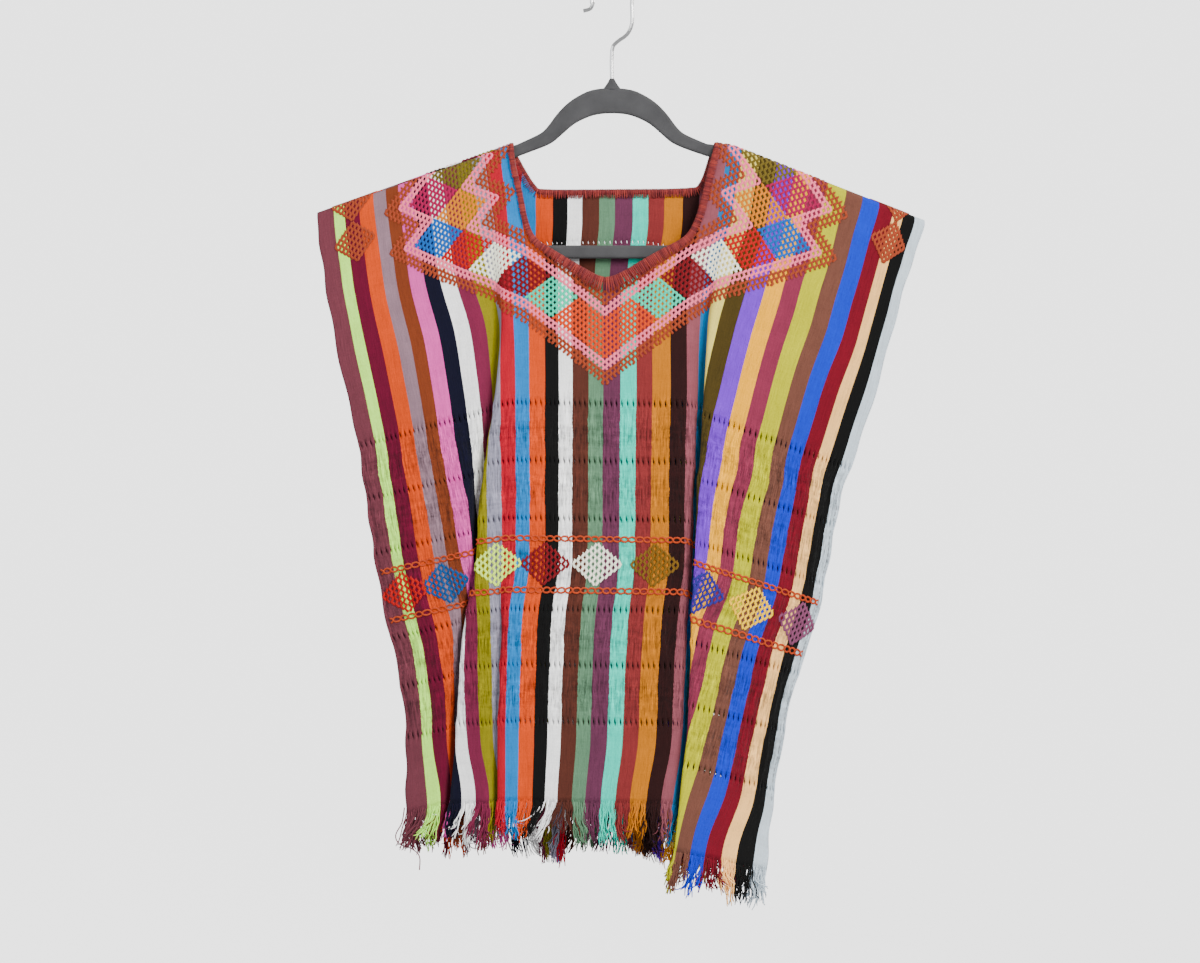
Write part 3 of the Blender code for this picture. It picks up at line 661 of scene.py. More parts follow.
def cloth_material(name, loose=False):
    """Warp-faced cotton in the order of the stripes: ribs, slubs, and crinkles between the eyelet rows, with
    the crinkles' shade and highlights painted into the colour.
    """
    nodes = Nodes(name)
    u, v = (nodes.times(measure, CLOTH_WIDTH) for measure in nodes.cloth_place())

    def grain(along_u, along_v, detail=2.0, roughness=0.55):
        place = nodes.add("CombineXYZ", {0: nodes.times(u, along_u), 1: nodes.times(v, along_v)})
        return nodes.noise(place.outputs[0], 1.0, detail, roughness)

    total, spread = nodes.total, nodes.spread
    slub = grain(1.7, 0.05, 3.0, 0.6)
    cloud, mottle = grain(0.035, 0.035), grain(0.9, 0.6)
    shade = total(1.0, spread(slub, 0.42), spread(cloud, 0.24), spread(mottle, 0.36))
    if loose:
        shade = total(shade, spread(grain(2.9, 0.02), 1.5))
        place = nodes.math("DIVIDE", u, CLOTH_WIDTH)
        height = slub
    else:
        share = row_share(nodes, nodes.math("ABSOLUTE", v))
        # painted shade and painted highlights of the crinkles between the eyelet rows; the same pattern is
        # also part of the bump
        crinkle_shade_and_relief = nodes.times(spread(grain(0.62, 0.06, 3.0, 0.62), 2.8), share)
        bands = nodes.times(spread(grain(0.045, 0.17, 3.0, 0.7), 1.15), total(share, 0.2))
        shade = total(shade, crinkle_shade_and_relief, bands, spread(grain(0.05, 1.9, 1.0), 0.16))
        wander = total(spread(grain(0.06, 0.05), 2.6), spread(grain(0.5, 0.42), 1.3))
        wander = nodes.times(wander, total(share, 0.12))
        place = nodes.math("DIVIDE", total(u, wander), CLOTH_WIDTH)
        height = total(nodes.times(slub, 0.5), nodes.times(crinkle_shade_and_relief, 1.3), bands)
    colour = nodes.shaded(stripes_colour(nodes, place), shade)
    warp = nodes.math("SINE", nodes.times(u, 2 * math.pi / WARP_PITCH))
    weft = nodes.math("SINE", nodes.times(v, 2 * math.pi / WEFT_PITCH))
    weave = nodes.bump(total(warp, nodes.times(weft, 0.0 if loose else 0.6)), 0.00006)
    normal = nodes.bump(height, 0.0009, 0.9, Normal=weave)
    nodes.finish(Base_Color=colour, Normal=normal, Roughness=0.8, Specular_IOR_Level=0.12)
    return nodes.finish(**COTTON_SHEEN)


def thread_material(name, rgb):
    """A twisted cotton thread: its UV runs along and around it."""
    nodes = Nodes(name)
    along, around = nodes.cloth_place()
    turn = nodes.total(nodes.times(along, 0.9), nodes.times(around, 2))
    ply = nodes.math("SINE", nodes.times(turn, 2 * math.pi))
    cloud = nodes.noise(nodes.place(), 260.0)
    # the ply's turns also make the colour a little lighter on their crests and darker in their grooves:
    # painted shade of the twist
    shade = nodes.total(nodes.times(cloud, 0.4), 0.8, nodes.times(ply, 0.05))
    normal = nodes.bump(ply, 0.00012)
    colour = nodes.shaded(paint(rgb), shade)
    nodes.finish(Base_Color=colour, Normal=normal, Roughness=0.6, Specular_IOR_Level=0.15)
    return nodes.finish(**COTTON_SHEEN)


def thread_materials(kind, dyes):
    return {name: thread_material(f"{kind}_{name}", rgb) for name, rgb in dyes.items()}


# ---------------- the neck

def smooth_route(points, steps, closed=False):
    """Points on a Catmull-Rom curve through the given ones."""
    points = np.asarray(points, float)
    count = len(points)
    t = (np.arange(steps) / steps)[:, None]
    route = []
    for i in range(count if closed else count - 1):
        near = [(i + k) % count if closed else min(max(i + k, 0), count - 1) for k in (-1, 0, 1, 2)]
        a, b, c, d = points[near]
        cubic = (3 * b - a - 3 * c + d) * t**3
        route.append(0.5 * (2 * b + (c - a) * t + (2 * a - 5 * b + 4 * c - d) * t**2 + cubic))
    return np.concatenate(route if closed else [*route, points[-1:]])


def arm_top(x):
    lowest = max(np.interp(x, panel.points[0, :, 0], -panel.points[0, :, 2]) for panel in (FRONT, BACK))
    return lowest + WALL / 2 + ARM_CLEAR


def neck_route():
    """The middle of the neck's binding: down the front, over each arm of the hanger and along the back."""
    radius = ARM_THICKNESS / 2 + BINDING + 2 * ARM_CLEAR

    def over_arm(x, angles):
        centre = arm_top(x) + ARM_THICKNESS / 2
        turns = (math.radians(angle) for angle in angles)
        return [(x, -radius * math.cos(turn), -centre + radius * math.sin(turn)) for turn in turns]

    def on_panel(points, back):
        for point in points:
            out = max(radius, read(WEFTS, "depth", point.below - RIDGE) * (BACK_DEPTH if back else 1.0))
            yield point.x, out if back else -out, -point.below

    angles = (10, 50, 90, 130, 170)
    return np.array([
        *over_arm(NECK_LEFT, angles[::-1]), *on_panel(FRONT_NECK, False),
        *over_arm(NECK_RIGHT, angles), *on_panel(BACK_NECK, True),
    ])


NECK = smooth_route(neck_route(), 6, True)


def neck_outline(panel):
    """The neck's edge in u and v on one panel, from left to right, closed above the shoulder fold."""
    own = NECK[(NECK[:, 1] > 0) == panel.back]
    own = own[np.argsort(own[:, 0])]
    outline = [panel.find(x, -z) for x, _, z in own if -z > arm_top(x) + 2.0]
    return np.array([(outline[0][0], -10.0), *outline, (outline[-1][0], -10.0)])


def inside(outline, u, v):
    """Which of the places u, v lie inside a closed outline."""
    found = np.zeros(np.broadcast(u, v).shape, bool)
    for (u_a, v_a), (u_b, v_b) in zip(outline, np.roll(outline, -1, axis=0)):
        if v_a == v_b:
            continue
        crosses = (v_a > v) != (v_b > v)
        found ^= crosses & (u < (u_b - u_a) * (v - v_a) / (v_b - v_a) + u_a)
    return found


def nearest_on(outline, place):
    """The point of the outline's line nearest to a place, and the gap to it."""
    a, b = outline[:-1], outline[1:]
    edge = b - a
    share = np.clip(((place - a) * edge).sum(1) / np.maximum((edge * edge).sum(1), 1e-9), 0.0, 1.0)
    points = a + edge * share[:, None]
    gaps = np.linalg.norm(points - place, axis=1)
    return points[int(np.argmin(gaps))], float(gaps.min())


NECK_FRONT = neck_outline(FRONT)
NECK_BACK = neck_outline(BACK)


# ---------------- the cloth's two panels

CLOTH = 0.7  # thickness of the cloth
SLITS_PER_STRIPE = 3
SLIT = (0.33, 0.65)  # where an eyelet slit lies in its share of the stripe
SLIT_HALF = 3.1  # half its length
BACK_SLIT = (0.41, 0.59)  # the back's eyelets are small
BACK_SLIT_HALF = 1.3
SLIT_SLANT = 0.45
SLIT_POINT = 0.75  # how far the two sides of a slit close at its ends
PUCKER = 0.75
PUCKER_REACH = 8.0
PLAIN_ROW = 5.2
BACK_ROWS_LOWER = 14.0
BACK_TOP_ROW = 74.8


def eyelet_rows(back):
    if not back:
        return EYELET_ROWS
    return [BACK_TOP_ROW] + [row + BACK_ROWS_LOWER for row in EYELET_ROWS]


def mesh_rows(back):
    """Cloth lengths of the mesh's rows: close together at the shoulder fold and at the eyelets."""
    rows = [0.0, 1.5, 3.0, 4.6, ROLL * math.pi / 2]
    half = BACK_SLIT_HALF if back else SLIT_HALF
    offsets = (-9.0, -5.0, -half, 0.0, half, 5.0, 9.0)
    fixed = sorted(middle + offset for middle in eyelet_rows(back) for offset in offsets) + [HEM]
    for stop in fixed:
        gap = stop - rows[-1]
        count = max(1, round(gap / PLAIN_ROW)) if gap > PLAIN_ROW else 1
        rows += [rows[-1] + gap * (k + 1) / count for k in range(count)]
    return np.array(rows)


def corners_of(faces):
    """The corners of a grid that its marked faces touch."""
    rows, columns = faces.shape
    found = np.zeros((rows + 1, columns + 1), bool)
    for i, j in ((0, 0), (0, 1), (1, 0), (1, 1)):
        found[i:rows + i, j:columns + j] |= faces
    return found


def make_cloth(name, panel, outline, finish):
    """A panel as a thin shell with its eyelet slits open and its neck cut out."""
    shares = np.array([0.0, *(BACK_SLIT if panel.back else SLIT)])
    half = BACK_SLIT_HALF if panel.back else SLIT_HALF
    units = [
        STRIPE_EDGES[n] + (STRIPE_EDGES[n + 1] - STRIPE_EDGES[n]) * (unit + shares) / SLITS_PER_STRIPE
        for n in range(STRIPES)
        for unit in range(SLITS_PER_STRIPE)
    ]
    u = np.append(np.concatenate(units), CLOTH_WIDTH)
    v = mesh_rows(panel.back)
    places = np.stack(np.meshgrid(u, v), axis=-1)
    kind = np.arange(len(u)) % len(shares)  # 0 between two slits, 1 and 2 at a slit's two sides
    width = (u[2] - u[1]) * SLIT_POINT / 2
    pucker = np.zeros((len(v), len(u)))
    slit_row = np.zeros(len(v) - 1, bool)
    for row in eyelet_rows(panel.back):
        pucker += np.outer(window((v - row) / PUCKER_REACH), np.where(kind == 0, PUCKER, -PUCKER * 0.35))
        slit_ends = np.abs(np.abs(v - row) - half) < 0.1
        slant = SLIT_SLANT * np.clip((v - row) / half, -1, 1) * (np.abs(v - row) < half + 0.1)
        closing = np.outer(slit_ends, np.choose(kind, [0.0, width, -width]))
        places[..., 0] += closing + np.outer(slant, kind > 0)
        slit_row |= (v[:-1] > row - half - 0.1) & (v[1:] < row + half + 0.1)
    places[..., 0] = np.clip(places[..., 0], 0.0, CLOTH_WIDTH)
    cut = inside(outline, places[..., 0], places[..., 1])
    cut_faces = cut[:-1, :-1].astype(int) + cut[1:, :-1] + cut[:-1, 1:] + cut[1:, 1:] >= 3
    keep = ~(cut_faces | np.outer(slit_row, kind[:-1] == 1))
    for i, j in np.argwhere((corners_of(cut_faces) | cut) & corners_of(keep)):
        target, gap = nearest_on(outline, places[i, j])
        if gap < 2 * PLAIN_ROW:
            places[i, j] = (target[0], max(target[1], 0.0))
    points = panel.at(places[..., 0], places[..., 1], pucker)
    numbers = np.arange(places[..., 0].size).reshape(cut.shape)
    a, b, c, d = numbers[:-1, :-1], numbers[:-1, 1:], numbers[1:, 1:], numbers[1:, :-1]
    quads = np.stack([a, b, c, d] if panel.back else [a, d, c, b], axis=-1)[keep]
    used, quads = np.unique(quads, return_inverse=True)
    texture = places.reshape(-1, 2)[used] * (1.0, -1.0 if panel.back else 1.0) / CLOTH_WIDTH
    mesh = build_mesh(name, points.reshape(-1, 3)[used], [quads.reshape(-1, 4)], texture[quads.ravel()])
    cloth = new_object(name, mesh, [finish])
    shell = cloth.modifiers.new("thickness", "SOLIDIFY")
    shell.thickness = CLOTH * MM
    shell.offset = 0.0
    return cloth


# ---------------- net embroidery

# A net of cords: where its column 0 and row 0 lie in the cloth, the steps between its columns and rows of
# holes, and which of two neighbouring cords sways first
Net = namedtuple("Net", "u v across down parity")
YOKE_NET = Net(237.6, 5.0, 22.2 / 7, 16.0 / 7, 0)
PATCH_STEP = 7  # holes from one patch to the next
PATCH_COLUMNS = 57  # cords on each side of the yoke's middle
PATCH_ROWS = np.arange(-14.5, 80, 0.5)
PARTED = 1.5  # from this gap between the two panels' threads on, the cords end at the shoulder fold
DIAMOND = 6  # cords on each side of a diamond's middle
CORD = 2.2
CORD_HEIGHT = 0.85
CORD_SWAY = 0.82
PATCH = 7.0  # how far out from its middle each patch reaches, in holes, and then the two edges
PINK_OUT = 10.6
RUST_OUT = 14.8
EDGE_DOWN = 0.92  # the two edges are a little wider above and below than at the sides
CUFFS = [Net(u, v, 3.0, 2.46, 1) for u, v in ((31.0, 2.5), (31.0, 34.4), (455.0, -4.0), (455.0, 27.5))]
BAND_STEPS = (3.5, 2.67, 1)
THREADS = {
    "olive": (99, 83, 22), "magenta": (154, 5, 67), "light_orange": (204, 115, 5), "blue": (5, 86, 171),
    "red": (172, 5, 5), "white": (243, 243, 223), "dark_red": (110, 5, 17), "aqua": (5, 203, 162),
    "orange": (204, 57, 5), "pink": (243, 107, 135), "rust": (144, 56, 28),
}
# Patches of the yoke's left half, in half patches from the yoke's middle line and from the uppermost patch
Patch = namedtuple("Patch", "step down thread")
YOKE = [Patch(*row) for row in (
    (-5, 0, "olive"), (-6, 1, "magenta"), (-5, 2, "light_orange"), (-6, 3, "blue"), (-5, 4, "red"),
    (-4, 5, "white"), (-3, 6, "dark_red"), (-2, 7, "aqua"), (-1, 8, "orange"), (0, 9, "orange"),
)]
# Diamonds of the band round the waist: u, thread colour
BandPatch = namedtuple("BandPatch", "u thread rgb")
BAND_LENGTH = 329.0
BAND = [BandPatch(*row) for row in (
    (21, "band_red", (172, 5, 5)), (56, "band_blue", (7, 69, 129)), (147, "band_green", (210, 243, 87)),
    (188, "band_dark_red", (110, 5, 17)), (232, "band_white", (243, 243, 223)),
    (281, "band_olive", (108, 76, 11)), (371, "band_violet", (41, 33, 127)),
    (418.5, "band_yellow", (243, 192, 5)), (466, "band_mauve", (119, 61, 92)),
)]
CHAINS = (308.5, 349.5)
CHAIN_LINK = 6.3
CHAIN_SWAY = 2.0
CHAIN_THREAD = {"chain": (173, 60, 22)}


def panel_path(u, v, lift):
    """Points and normals on the cloth. A v below zero lies on the back, over the shoulder fold."""
    place, behind = (u, np.abs(v)), (v < 0)[:, None]
    points = np.where(behind, BACK.at(*place, lift), FRONT.at(*place, lift))
    return points, np.where(behind, BACK.normal(*place), FRONT.normal(*place))


def yoke_label(column, row):
    """The thread that covers a place of the yoke's net, from its distance to the nearest patch."""
    best, edge, thread = 1e9, 1e9, None
    for patch in YOKE:
        aside = min(abs(column - PATCH_STEP * patch.step * mirror) for mirror in (1, -1))
        below = abs(row - PATCH_STEP * patch.down)
        edge = min(edge, aside + below * EDGE_DOWN)
        if aside + below < best:
            best, thread = aside + below, patch.thread
    if best <= PATCH:
        return thread
    if edge <= PINK_OUT:
        return "pink"
    return "rust" if edge <= RUST_OUT else None


def add_cord(threads, finish, net, column, first, last, seed, parted=False):
    """One cord of a net, from row first to row last: it sways round the holes on both sides.

    Where the panels' threads are parted, it keeps to its own side of the shoulder fold.
    """
    rows = np.concatenate([[first - 0.55, first - 0.2], np.arange(first, last + 0.01, 0.5), [last + 0.3]])
    sway = CORD_SWAY * np.cos(math.pi * rows) * (-1.0) ** (math.floor(column) + net.parity)
    v = net.v + rows * net.down
    if parted:
        v = np.maximum(v, 0.3) if v.mean() >= 0 else np.minimum(v, -0.3)
    size = np.ones(len(rows))
    size[[0, 1, -1]] = 0.2, 0.6, 0.5
    size *= 1.0 + random.Random(seed).uniform(-0.08, 0.08)
    path, normals = panel_path(net.u + column * net.across + sway, v, CLOTH / 2 + CORD_HEIGHT * 0.35)
    threads.add(path, normals, CORD * size, CORD_HEIGHT * np.maximum(size, 0.4), finish)


def make_yoke(finishes):
    """The yoke: patches of net in a zigzag round the neck, edged with pink and rust."""
    names = list(THREADS)
    threads = Threads()
    v = YOKE_NET.v + PATCH_ROWS * YOKE_NET.down
    for half_column in range(-PATCH_COLUMNS, PATCH_COLUMNS):
        column = half_column + 0.5
        u = YOKE_NET.u + column * YOKE_NET.across
        cut = np.where(v >= 0, inside(NECK_FRONT, u, v), inside(NECK_BACK, u, -v))
        gap = FRONT.at([u], [0.0]) - BACK.at([u], [0.0])
        parted = bool(abs(gap[0, 0]) > PARTED)
        kinds = [
            (None if gone else yoke_label(column, row), parted and length < 0)
            for row, length, gone in zip(PATCH_ROWS, v, cut)
        ]
        for (thread, _), group in groupby(range(len(v)), lambda k: kinds[k]):
            group = list(group)
            if thread and len(group) > 1:
                ends, seed = PATCH_ROWS[[group[0], group[-1]]], half_column * 1000 + group[0]
                add_cord(threads, names.index(thread), YOKE_NET, column, *ends, seed, parted)
    for net in CUFFS:
        add_diamond(threads, names.index("rust"), net)
    return threads.build("yoke_embroidery", finishes.values())


def add_diamond(threads, finish, net):
    """A diamond of net round the net's middle."""
    for half_column in range(-DIAMOND, DIAMOND):
        column = half_column + 0.5
        reach = DIAMOND + 0.5 - abs(column)
        add_cord(threads, finish, net, column, -reach, reach, int(net.u * 100 + net.v + half_column))


def make_band(finishes):
    """The band round the waist: nine diamonds of net between two lines of chain stitch."""
    threads = Threads()
    for number, patch in enumerate(BAND):
        add_diamond(threads, number, Net(patch.u, BAND_LENGTH, *BAND_STEPS))
    for length in CHAINS:
        u = np.arange(4.0, CLOTH_WIDTH - 4.0, CHAIN_LINK / 10)
        for side in (1, -1):
            swing = np.sin(math.pi * u / CHAIN_LINK)
            wave = side * CHAIN_SWAY * np.sign(swing) * np.abs(swing) ** 0.5
            over = 0.25 * side * np.cos(math.pi * u / CHAIN_LINK)
            path, normals = panel_path(u, length + wave, CLOTH / 2 + 0.45 + over)
            threads.add(path, normals, 1.5, 0.95, len(BAND))
    return threads.build("waist_band", finishes.values())


# ---------------- binding, seams and fringe

BACK_STITCH_RISE = 2.4
ARM_SINK = 2.2  # how much closer the roll lies over an arm than beside it
ARM_FLAT = 0.55  # and how much flatter it is there
ARM_NEAR = 4.0  # the roll lies over an arm down to this far below the arm's top
REAR = 4.0  # the roll's stretch behind this y is the back's
FRONT_HOLE, BACK_HOLE = [[2.0, 0.0, -178.0]], [[2.0, 5.6, -140.0]]  # where the stitches point away from
STITCH_TAPER = np.array([0.45, 0.85, 1, 1, 1, 1, 0.9, 0.5])
# The light copy of the one binding thread is a painted highlight and the darker copy a painted shade,
# scattered at random over the stitches.
BINDING_THREADS = {
    "thread": (129, 46, 45), "light": (151, 55, 49), "painted_shade": (105, 35, 39), "core": (90, 28, 30),
}
SEAM_THREADS = {"mauve": (92, 44, 56), "grey": (120, 122, 128)}


def make_binding(finishes):
    """The neck's edge: rolled cloth wrapped closely with thread, in a fan of long stitches at the point."""
    rng = random.Random(11)
    threads = Threads()
    resting = np.vstack([NECK, NECK[:3]])
    tops = np.array([arm_top(x) for x in resting[:, 0]])
    near_arm = np.clip((tops + ARM_NEAR + resting[:, 2]) / 3.0, 0.0, 1.0)
    spoke = unit(resting * [0.0, 1.0, 1.0] + np.outer(tops + ARM_THICKNESS / 2, [0.0, 0.0, 1.0]))
    resting = resting - spoke * (ARM_SINK * near_arm)[:, None]
    flat = 1.0 - ARM_FLAT * near_arm
    closed = resting.copy()
    closed[:, 2] += BACK_STITCH_RISE * np.clip((closed[:, 1] - 3.5) / 2.0, 0.0, 1.0)
    along = unit(np.gradient(closed, axis=0))
    hole = np.where(closed[:, 1:2] > REAR, BACK_HOLE, FRONT_HOLE)
    on_arm = -closed[:, 2] < tops + ARM_NEAR
    hole[on_arm, 1:] = closed[on_arm, 1:]
    away = closed - hole
    away = unit(away - along * (away * along).sum(1)[:, None])
    outward = np.cross(along, away)
    for core, width in ((closed, 2 * BINDING - 1.0), (resting, 1.8)):
        threads.add(core, outward, width, width * flat, 3)
    run, lines = lengths_along(closed), np.hstack([closed, away, outward]).T
    place = 0.0
    while place < run[-3]:
        p, w, n = np.array([np.interp(place, run, line) for line in lines]).reshape(3, 3)
        w, n = unit(w), unit(n)
        rear, over_arm = p[1] > REAR, -p[2] < arm_top(p[0]) + ARM_NEAR
        facing = [0.0, p[1], p[2] + arm_top(p[0]) + ARM_THICKNESS / 2] if over_arm else [0.0, -1.0, 0.0]
        n = n * np.interp(place, run, flat) * (-1.0 if n @ facing < 0 else 1.0)
        if rear:
            tail, step, thick, rise = 5.4 + rng.uniform(-0.5, 0.7), 1.5, 1.0, 2.0
        else:
            point = np.clip((-p[2] - 203.0) / 36.0, 0.0, 1.0) if p[1] < 0 else 0.0
            uneven = rng.uniform(-0.5, 1.3) * (0.4 + 1.6 * point)
            tail = 2.6 + (1.4 if p[0] > 0 else 0.0) + point * 6.4 + uneven
            step, thick, rise = 1.0 + 0.6 * point, 1.0 + 0.4 * point, 1.5 + 0.4 * point
        if over_arm:
            tail = 0.5
        under = 1.2 if over_arm else 3.0
        slant = np.cross(w, n) * rng.uniform(-0.3, 0.3)
        r, diagonal = BINDING - 0.5, (BINDING - 0.5) * 0.72
        path = p + np.array([
            w * tail + n * (rise - 0.35) + slant * 2,
            w * (tail * 0.5 + 0.8) + n * (rise + 0.15) + slant,
            w * 0.9 + n * r,
            n * diagonal - w * diagonal,
            -w * r * 1.02,
            -n * diagonal - w * diagonal,
            w * 0.9 - n * r,
            w * under - n * 1.2 - slant,
        ])
        size = STITCH_TAPER * thick * rng.uniform(0.88, 1.15)
        normals = np.cross(np.cross(w, n), np.gradient(path, axis=0))
        # one stitch in four takes the thread's painted highlight copy, one in four its painted shade copy
        threads.add(path, normals, size, size * 0.85, rng.choice((0, 0, 1, 2)))
        place += step * rng.uniform(0.88, 1.12)
    return threads.build("neck_stitching", finishes.values())


def make_seams(finishes):
    """Small back stitches down both side seams, on the front and on the back."""
    rng = random.Random(5)
    threads = Threads()
    for panel in (FRONT, BACK):
        for right in (False, True):
            place = SEAM_TOP - 6.0
            while place < SEAM_FOOT:
                length = rng.uniform(2.8, 3.8)
                v = np.linspace(place, place + length, 5)
                inset = SEAM_IN + rng.uniform(-0.3, 0.3)
                u = np.full(5, CLOTH_WIDTH - inset if right else inset)
                lift = CLOTH / 2 + np.array([-0.3, 0.15, 0.25, 0.15, -0.3])
                threads.add(panel.at(u, v, lift), panel.normal(u, v), 0.55, 0.5, int(right))
                place += length + rng.uniform(0.7, 1.3)
    return threads.build("side_seams", finishes.values())


TUFT = 8.0
STRANDS = 1150
STRAND = 0.95
STRAND_POINTS = 12
FRINGE_MORE = 4.0  # how much longer the longest threads are than the model's fringe
Tuft = namedtuple("Tuft", "lean depth reach curl turns")
TUFT_RANGES = Tuft((-3, 3), (-3, 3), (0.74, 1.0), (-1, 1), (3, 7))
Lean = namedtuple("Lean", "u aside")
FRONT_LEANS = [Lean(*row) for row in (
    (0, -9), (14, -10), (30, -6), (50, -5), (62, 4), (90, -3), (104, -4), (118, -7), (130, 0), (143, 5),
    (158, 1), (172, -2), (186, -3), (200, -10), (214, -12), (222, 3), (236, 5), (250, 1), (264, 3),
    (280, -2), (300, 3), (316, -4), (334, -2), (350, 3), (366, -3), (380, -6), (400, -5), (420, -2),
    (436, 2), (452, 6), (468, 3), (486, 4),
)]
BACK_LEANS = [Lean(*row) for row in (
    (0, 4), (35, -5), (70, 3), (110, 6), (150, -4), (185, 2), (225, -6), (260, 4), (300, -2), (345, 5),
    (390, -5), (430, 1), (486, -4),
)]
LOOSE_END = [(-166, 662), (-168, 674), (-173, 684), (-170, 691), (-160, 695), (-154, 701), (-154, 712)]


def make_fringe(name, panel, seed, finish):
    """The loose warp ends below the hem, in soft tufts that lean, cross and curl."""
    rng = random.Random(seed)
    threads = Threads(4)
    leans = np.array(BACK_LEANS if panel.back else FRONT_LEANS, float).T
    tufts = {}
    t = np.linspace(0.0, 1.0, STRAND_POINTS)
    tip = np.maximum(t - 0.7, 0.0) ** 2 / 0.09
    facing = np.tile([0.0, -1.0, 0.0], (STRAND_POINTS, 1))
    sign = 1.0 if panel.back else -1.0
    size = STRAND * np.concatenate([[0.5, 0.9], np.ones(STRAND_POINTS - 4), [0.9, 0.6]])
    for number in range(STRANDS):
        u = (number + rng.uniform(0.1, 0.9)) / STRANDS * CLOTH_WIDTH
        key = int((u + 2.0 * math.sin(u * 0.9)) / TUFT)
        if key not in tufts:
            tufts[key] = Tuft(*(rng.uniform(*ends) for ends in TUFT_RANGES))
        tuft = tufts[key]
        lean = tuft.lean + float(np.interp(u, *leans))
        edge = panel.at(np.full(2, u), np.array([HEM - rng.uniform(0.8, 3.5), HEM + 1.0]), 0.05)
        down = unit(edge[1] - edge[0])
        length = (FRINGE + FRINGE_MORE) * tuft.reach * (1.0 - 0.4 * rng.random() ** 1.8)
        gather = ((key + 0.5) * TUFT - u) * rng.uniform(0.0, 0.55)
        own, beat, phase = rng.uniform(-3.4, 3.4), rng.uniform(7, 15), rng.uniform(0, 6.3)
        hook = rng.uniform(-5, 5) if rng.random() < 0.3 else 0.0
        x = (lean + own) * t**1.6 + gather * np.sin(math.pi / 2 * np.minimum(1.3 * t, 1.0)) + hook * tip
        x += 2.0 * tuft.curl * np.sin(tuft.turns * t + tuft.curl * 2) * t
        x += rng.uniform(0.4, 1.3) * (np.sin(beat * t + phase) - math.sin(phase)) * np.sqrt(t)
        y = sign * (tuft.depth * t**1.5 + rng.uniform(-2.0, 2.0) * t)
        y += rng.uniform(-0.5, 0.5) * np.sin(beat * t)
        fall = length * (t * (1.0 - 0.1 * abs(tuft.curl) * t) - 0.03 * abs(hook) * tip)
        path = edge[0] + down * fall[:, None] + np.stack([x, y, 0 * t], axis=1)
        places = np.stack([np.full(STRAND_POINTS, u), HEM + length * t], axis=1)
        threads.add(path, facing, size, size, 0, places)
    if not panel.back:
        route = smooth_route([(x, -7.0, -below) for x, below in LOOSE_END], 4)
        places = np.stack([np.full(len(route), 8.0), HEM + np.arange(len(route))], axis=1)
        threads.add(route, np.tile(facing[:1], (len(route), 1)), STRAND, STRAND, 0, places)
    return threads.build(name, [finish])


# ---------------- the hanger's finishes

def flock_material():
    """Short dense nap, its colour mottled between dark and lighter grey."""
    nodes = Nodes("flock")
    nap = nodes.noise(nodes.place(), 3200.0, 2.0, 0.7)
    cloud = nodes.noise(nodes.place(), 60.0, 3.0)
    shade = nodes.total(nodes.times(nap, 0.5), nodes.times(cloud, 0.5))
    colour = nodes.mix(shade, paint((38, 38, 39)), paint((82, 82, 84)))
    nodes.finish(Base_Color=colour, Normal=nodes.bump(nap, 0.0003, 0.8), Roughness=0.95)
    return nodes.finish(Specular_IOR_Level=0.15, Sheen_Weight=0.12, Sheen_Roughness=0.4)


def chrome_material():
    """Bright plated wire with faint drawing marks."""
    nodes = Nodes("chrome")
    marks = nodes.noise(nodes.place(), 900.0, 3.0)
    colour = nodes.mix(marks, grey(0.34), grey(0.52))
    roughness = nodes.total(nodes.times(marks, 0.14), 0.14)
    nodes.finish(Base_Color=colour, Roughness=roughness, Normal=nodes.bump(marks, 0.00003))
    return nodes.finish(Metallic=1.0)


# The small peak that the hook stands in: half its width and how far below the hook's seat
PEAK = [(7.6, 87.4), (6.6, 85.9), (5.0, 83.8), (3.5, 81.5), (2.5, 79.7), (1.9, 78.5), (1.2, 78.2)]
PEAK_DEPTH = 4.8


def make_peak(finish):
    """The peak as one smooth skin that rises out of the hanger's arch."""
    tube = Threads(24)
    half, below = np.array(PEAK).T
    front = np.tile([0.0, -1.0, 0.0], (len(PEAK), 1))
    tube.add(np.outer(below, [0.0, 0.0, -1.0]), front, 2 * half, np.minimum(2 * half, PEAK_DEPTH), 0)
    return tube.build("hanger_peak", [finish])


def dress_node(name, finish):
    """Gives a solid of the model its finish, with its curves smooth and its edges sharp."""
    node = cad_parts[name]
    node.data.materials.clear()
    node.data.materials.append(finish)
    node.data.polygons.foreach_set("use_smooth", np.ones(len(node.data.polygons), bool))
    node.modifiers.new("edges", "EDGE_SPLIT").split_angle = math.radians(40)


# ---------------- the studio

SENSOR = 36.0
CAMERA_AWAY = 3.2
VIEW_WIDTH = 0.96  # how much shows across at the front cloth
VIEW_CENTRE = Vector((-0.0096, -0.006, -0.4012))
FLOOR_Z = -1.25
FLOOR_REACH = 3.2
FLOOR_CURVE = 1.2
WALL_HEIGHT = 5.0
LIGHTS_AIM = Vector((0.0, 0.0, -0.4))


def make_camera():
    data = bpy.data.cameras.new("camera")
    data.sensor_width = SENSOR
    data.lens = SENSOR * CAMERA_AWAY / VIEW_WIDTH
    camera = stand("camera", data)
    camera.location = VIEW_CENTRE + Vector((0.0, -CAMERA_AWAY, 0.0))
    camera.rotation_euler = (math.pi / 2, 0.0, 0.0)
    bpy.context.scene.camera = camera


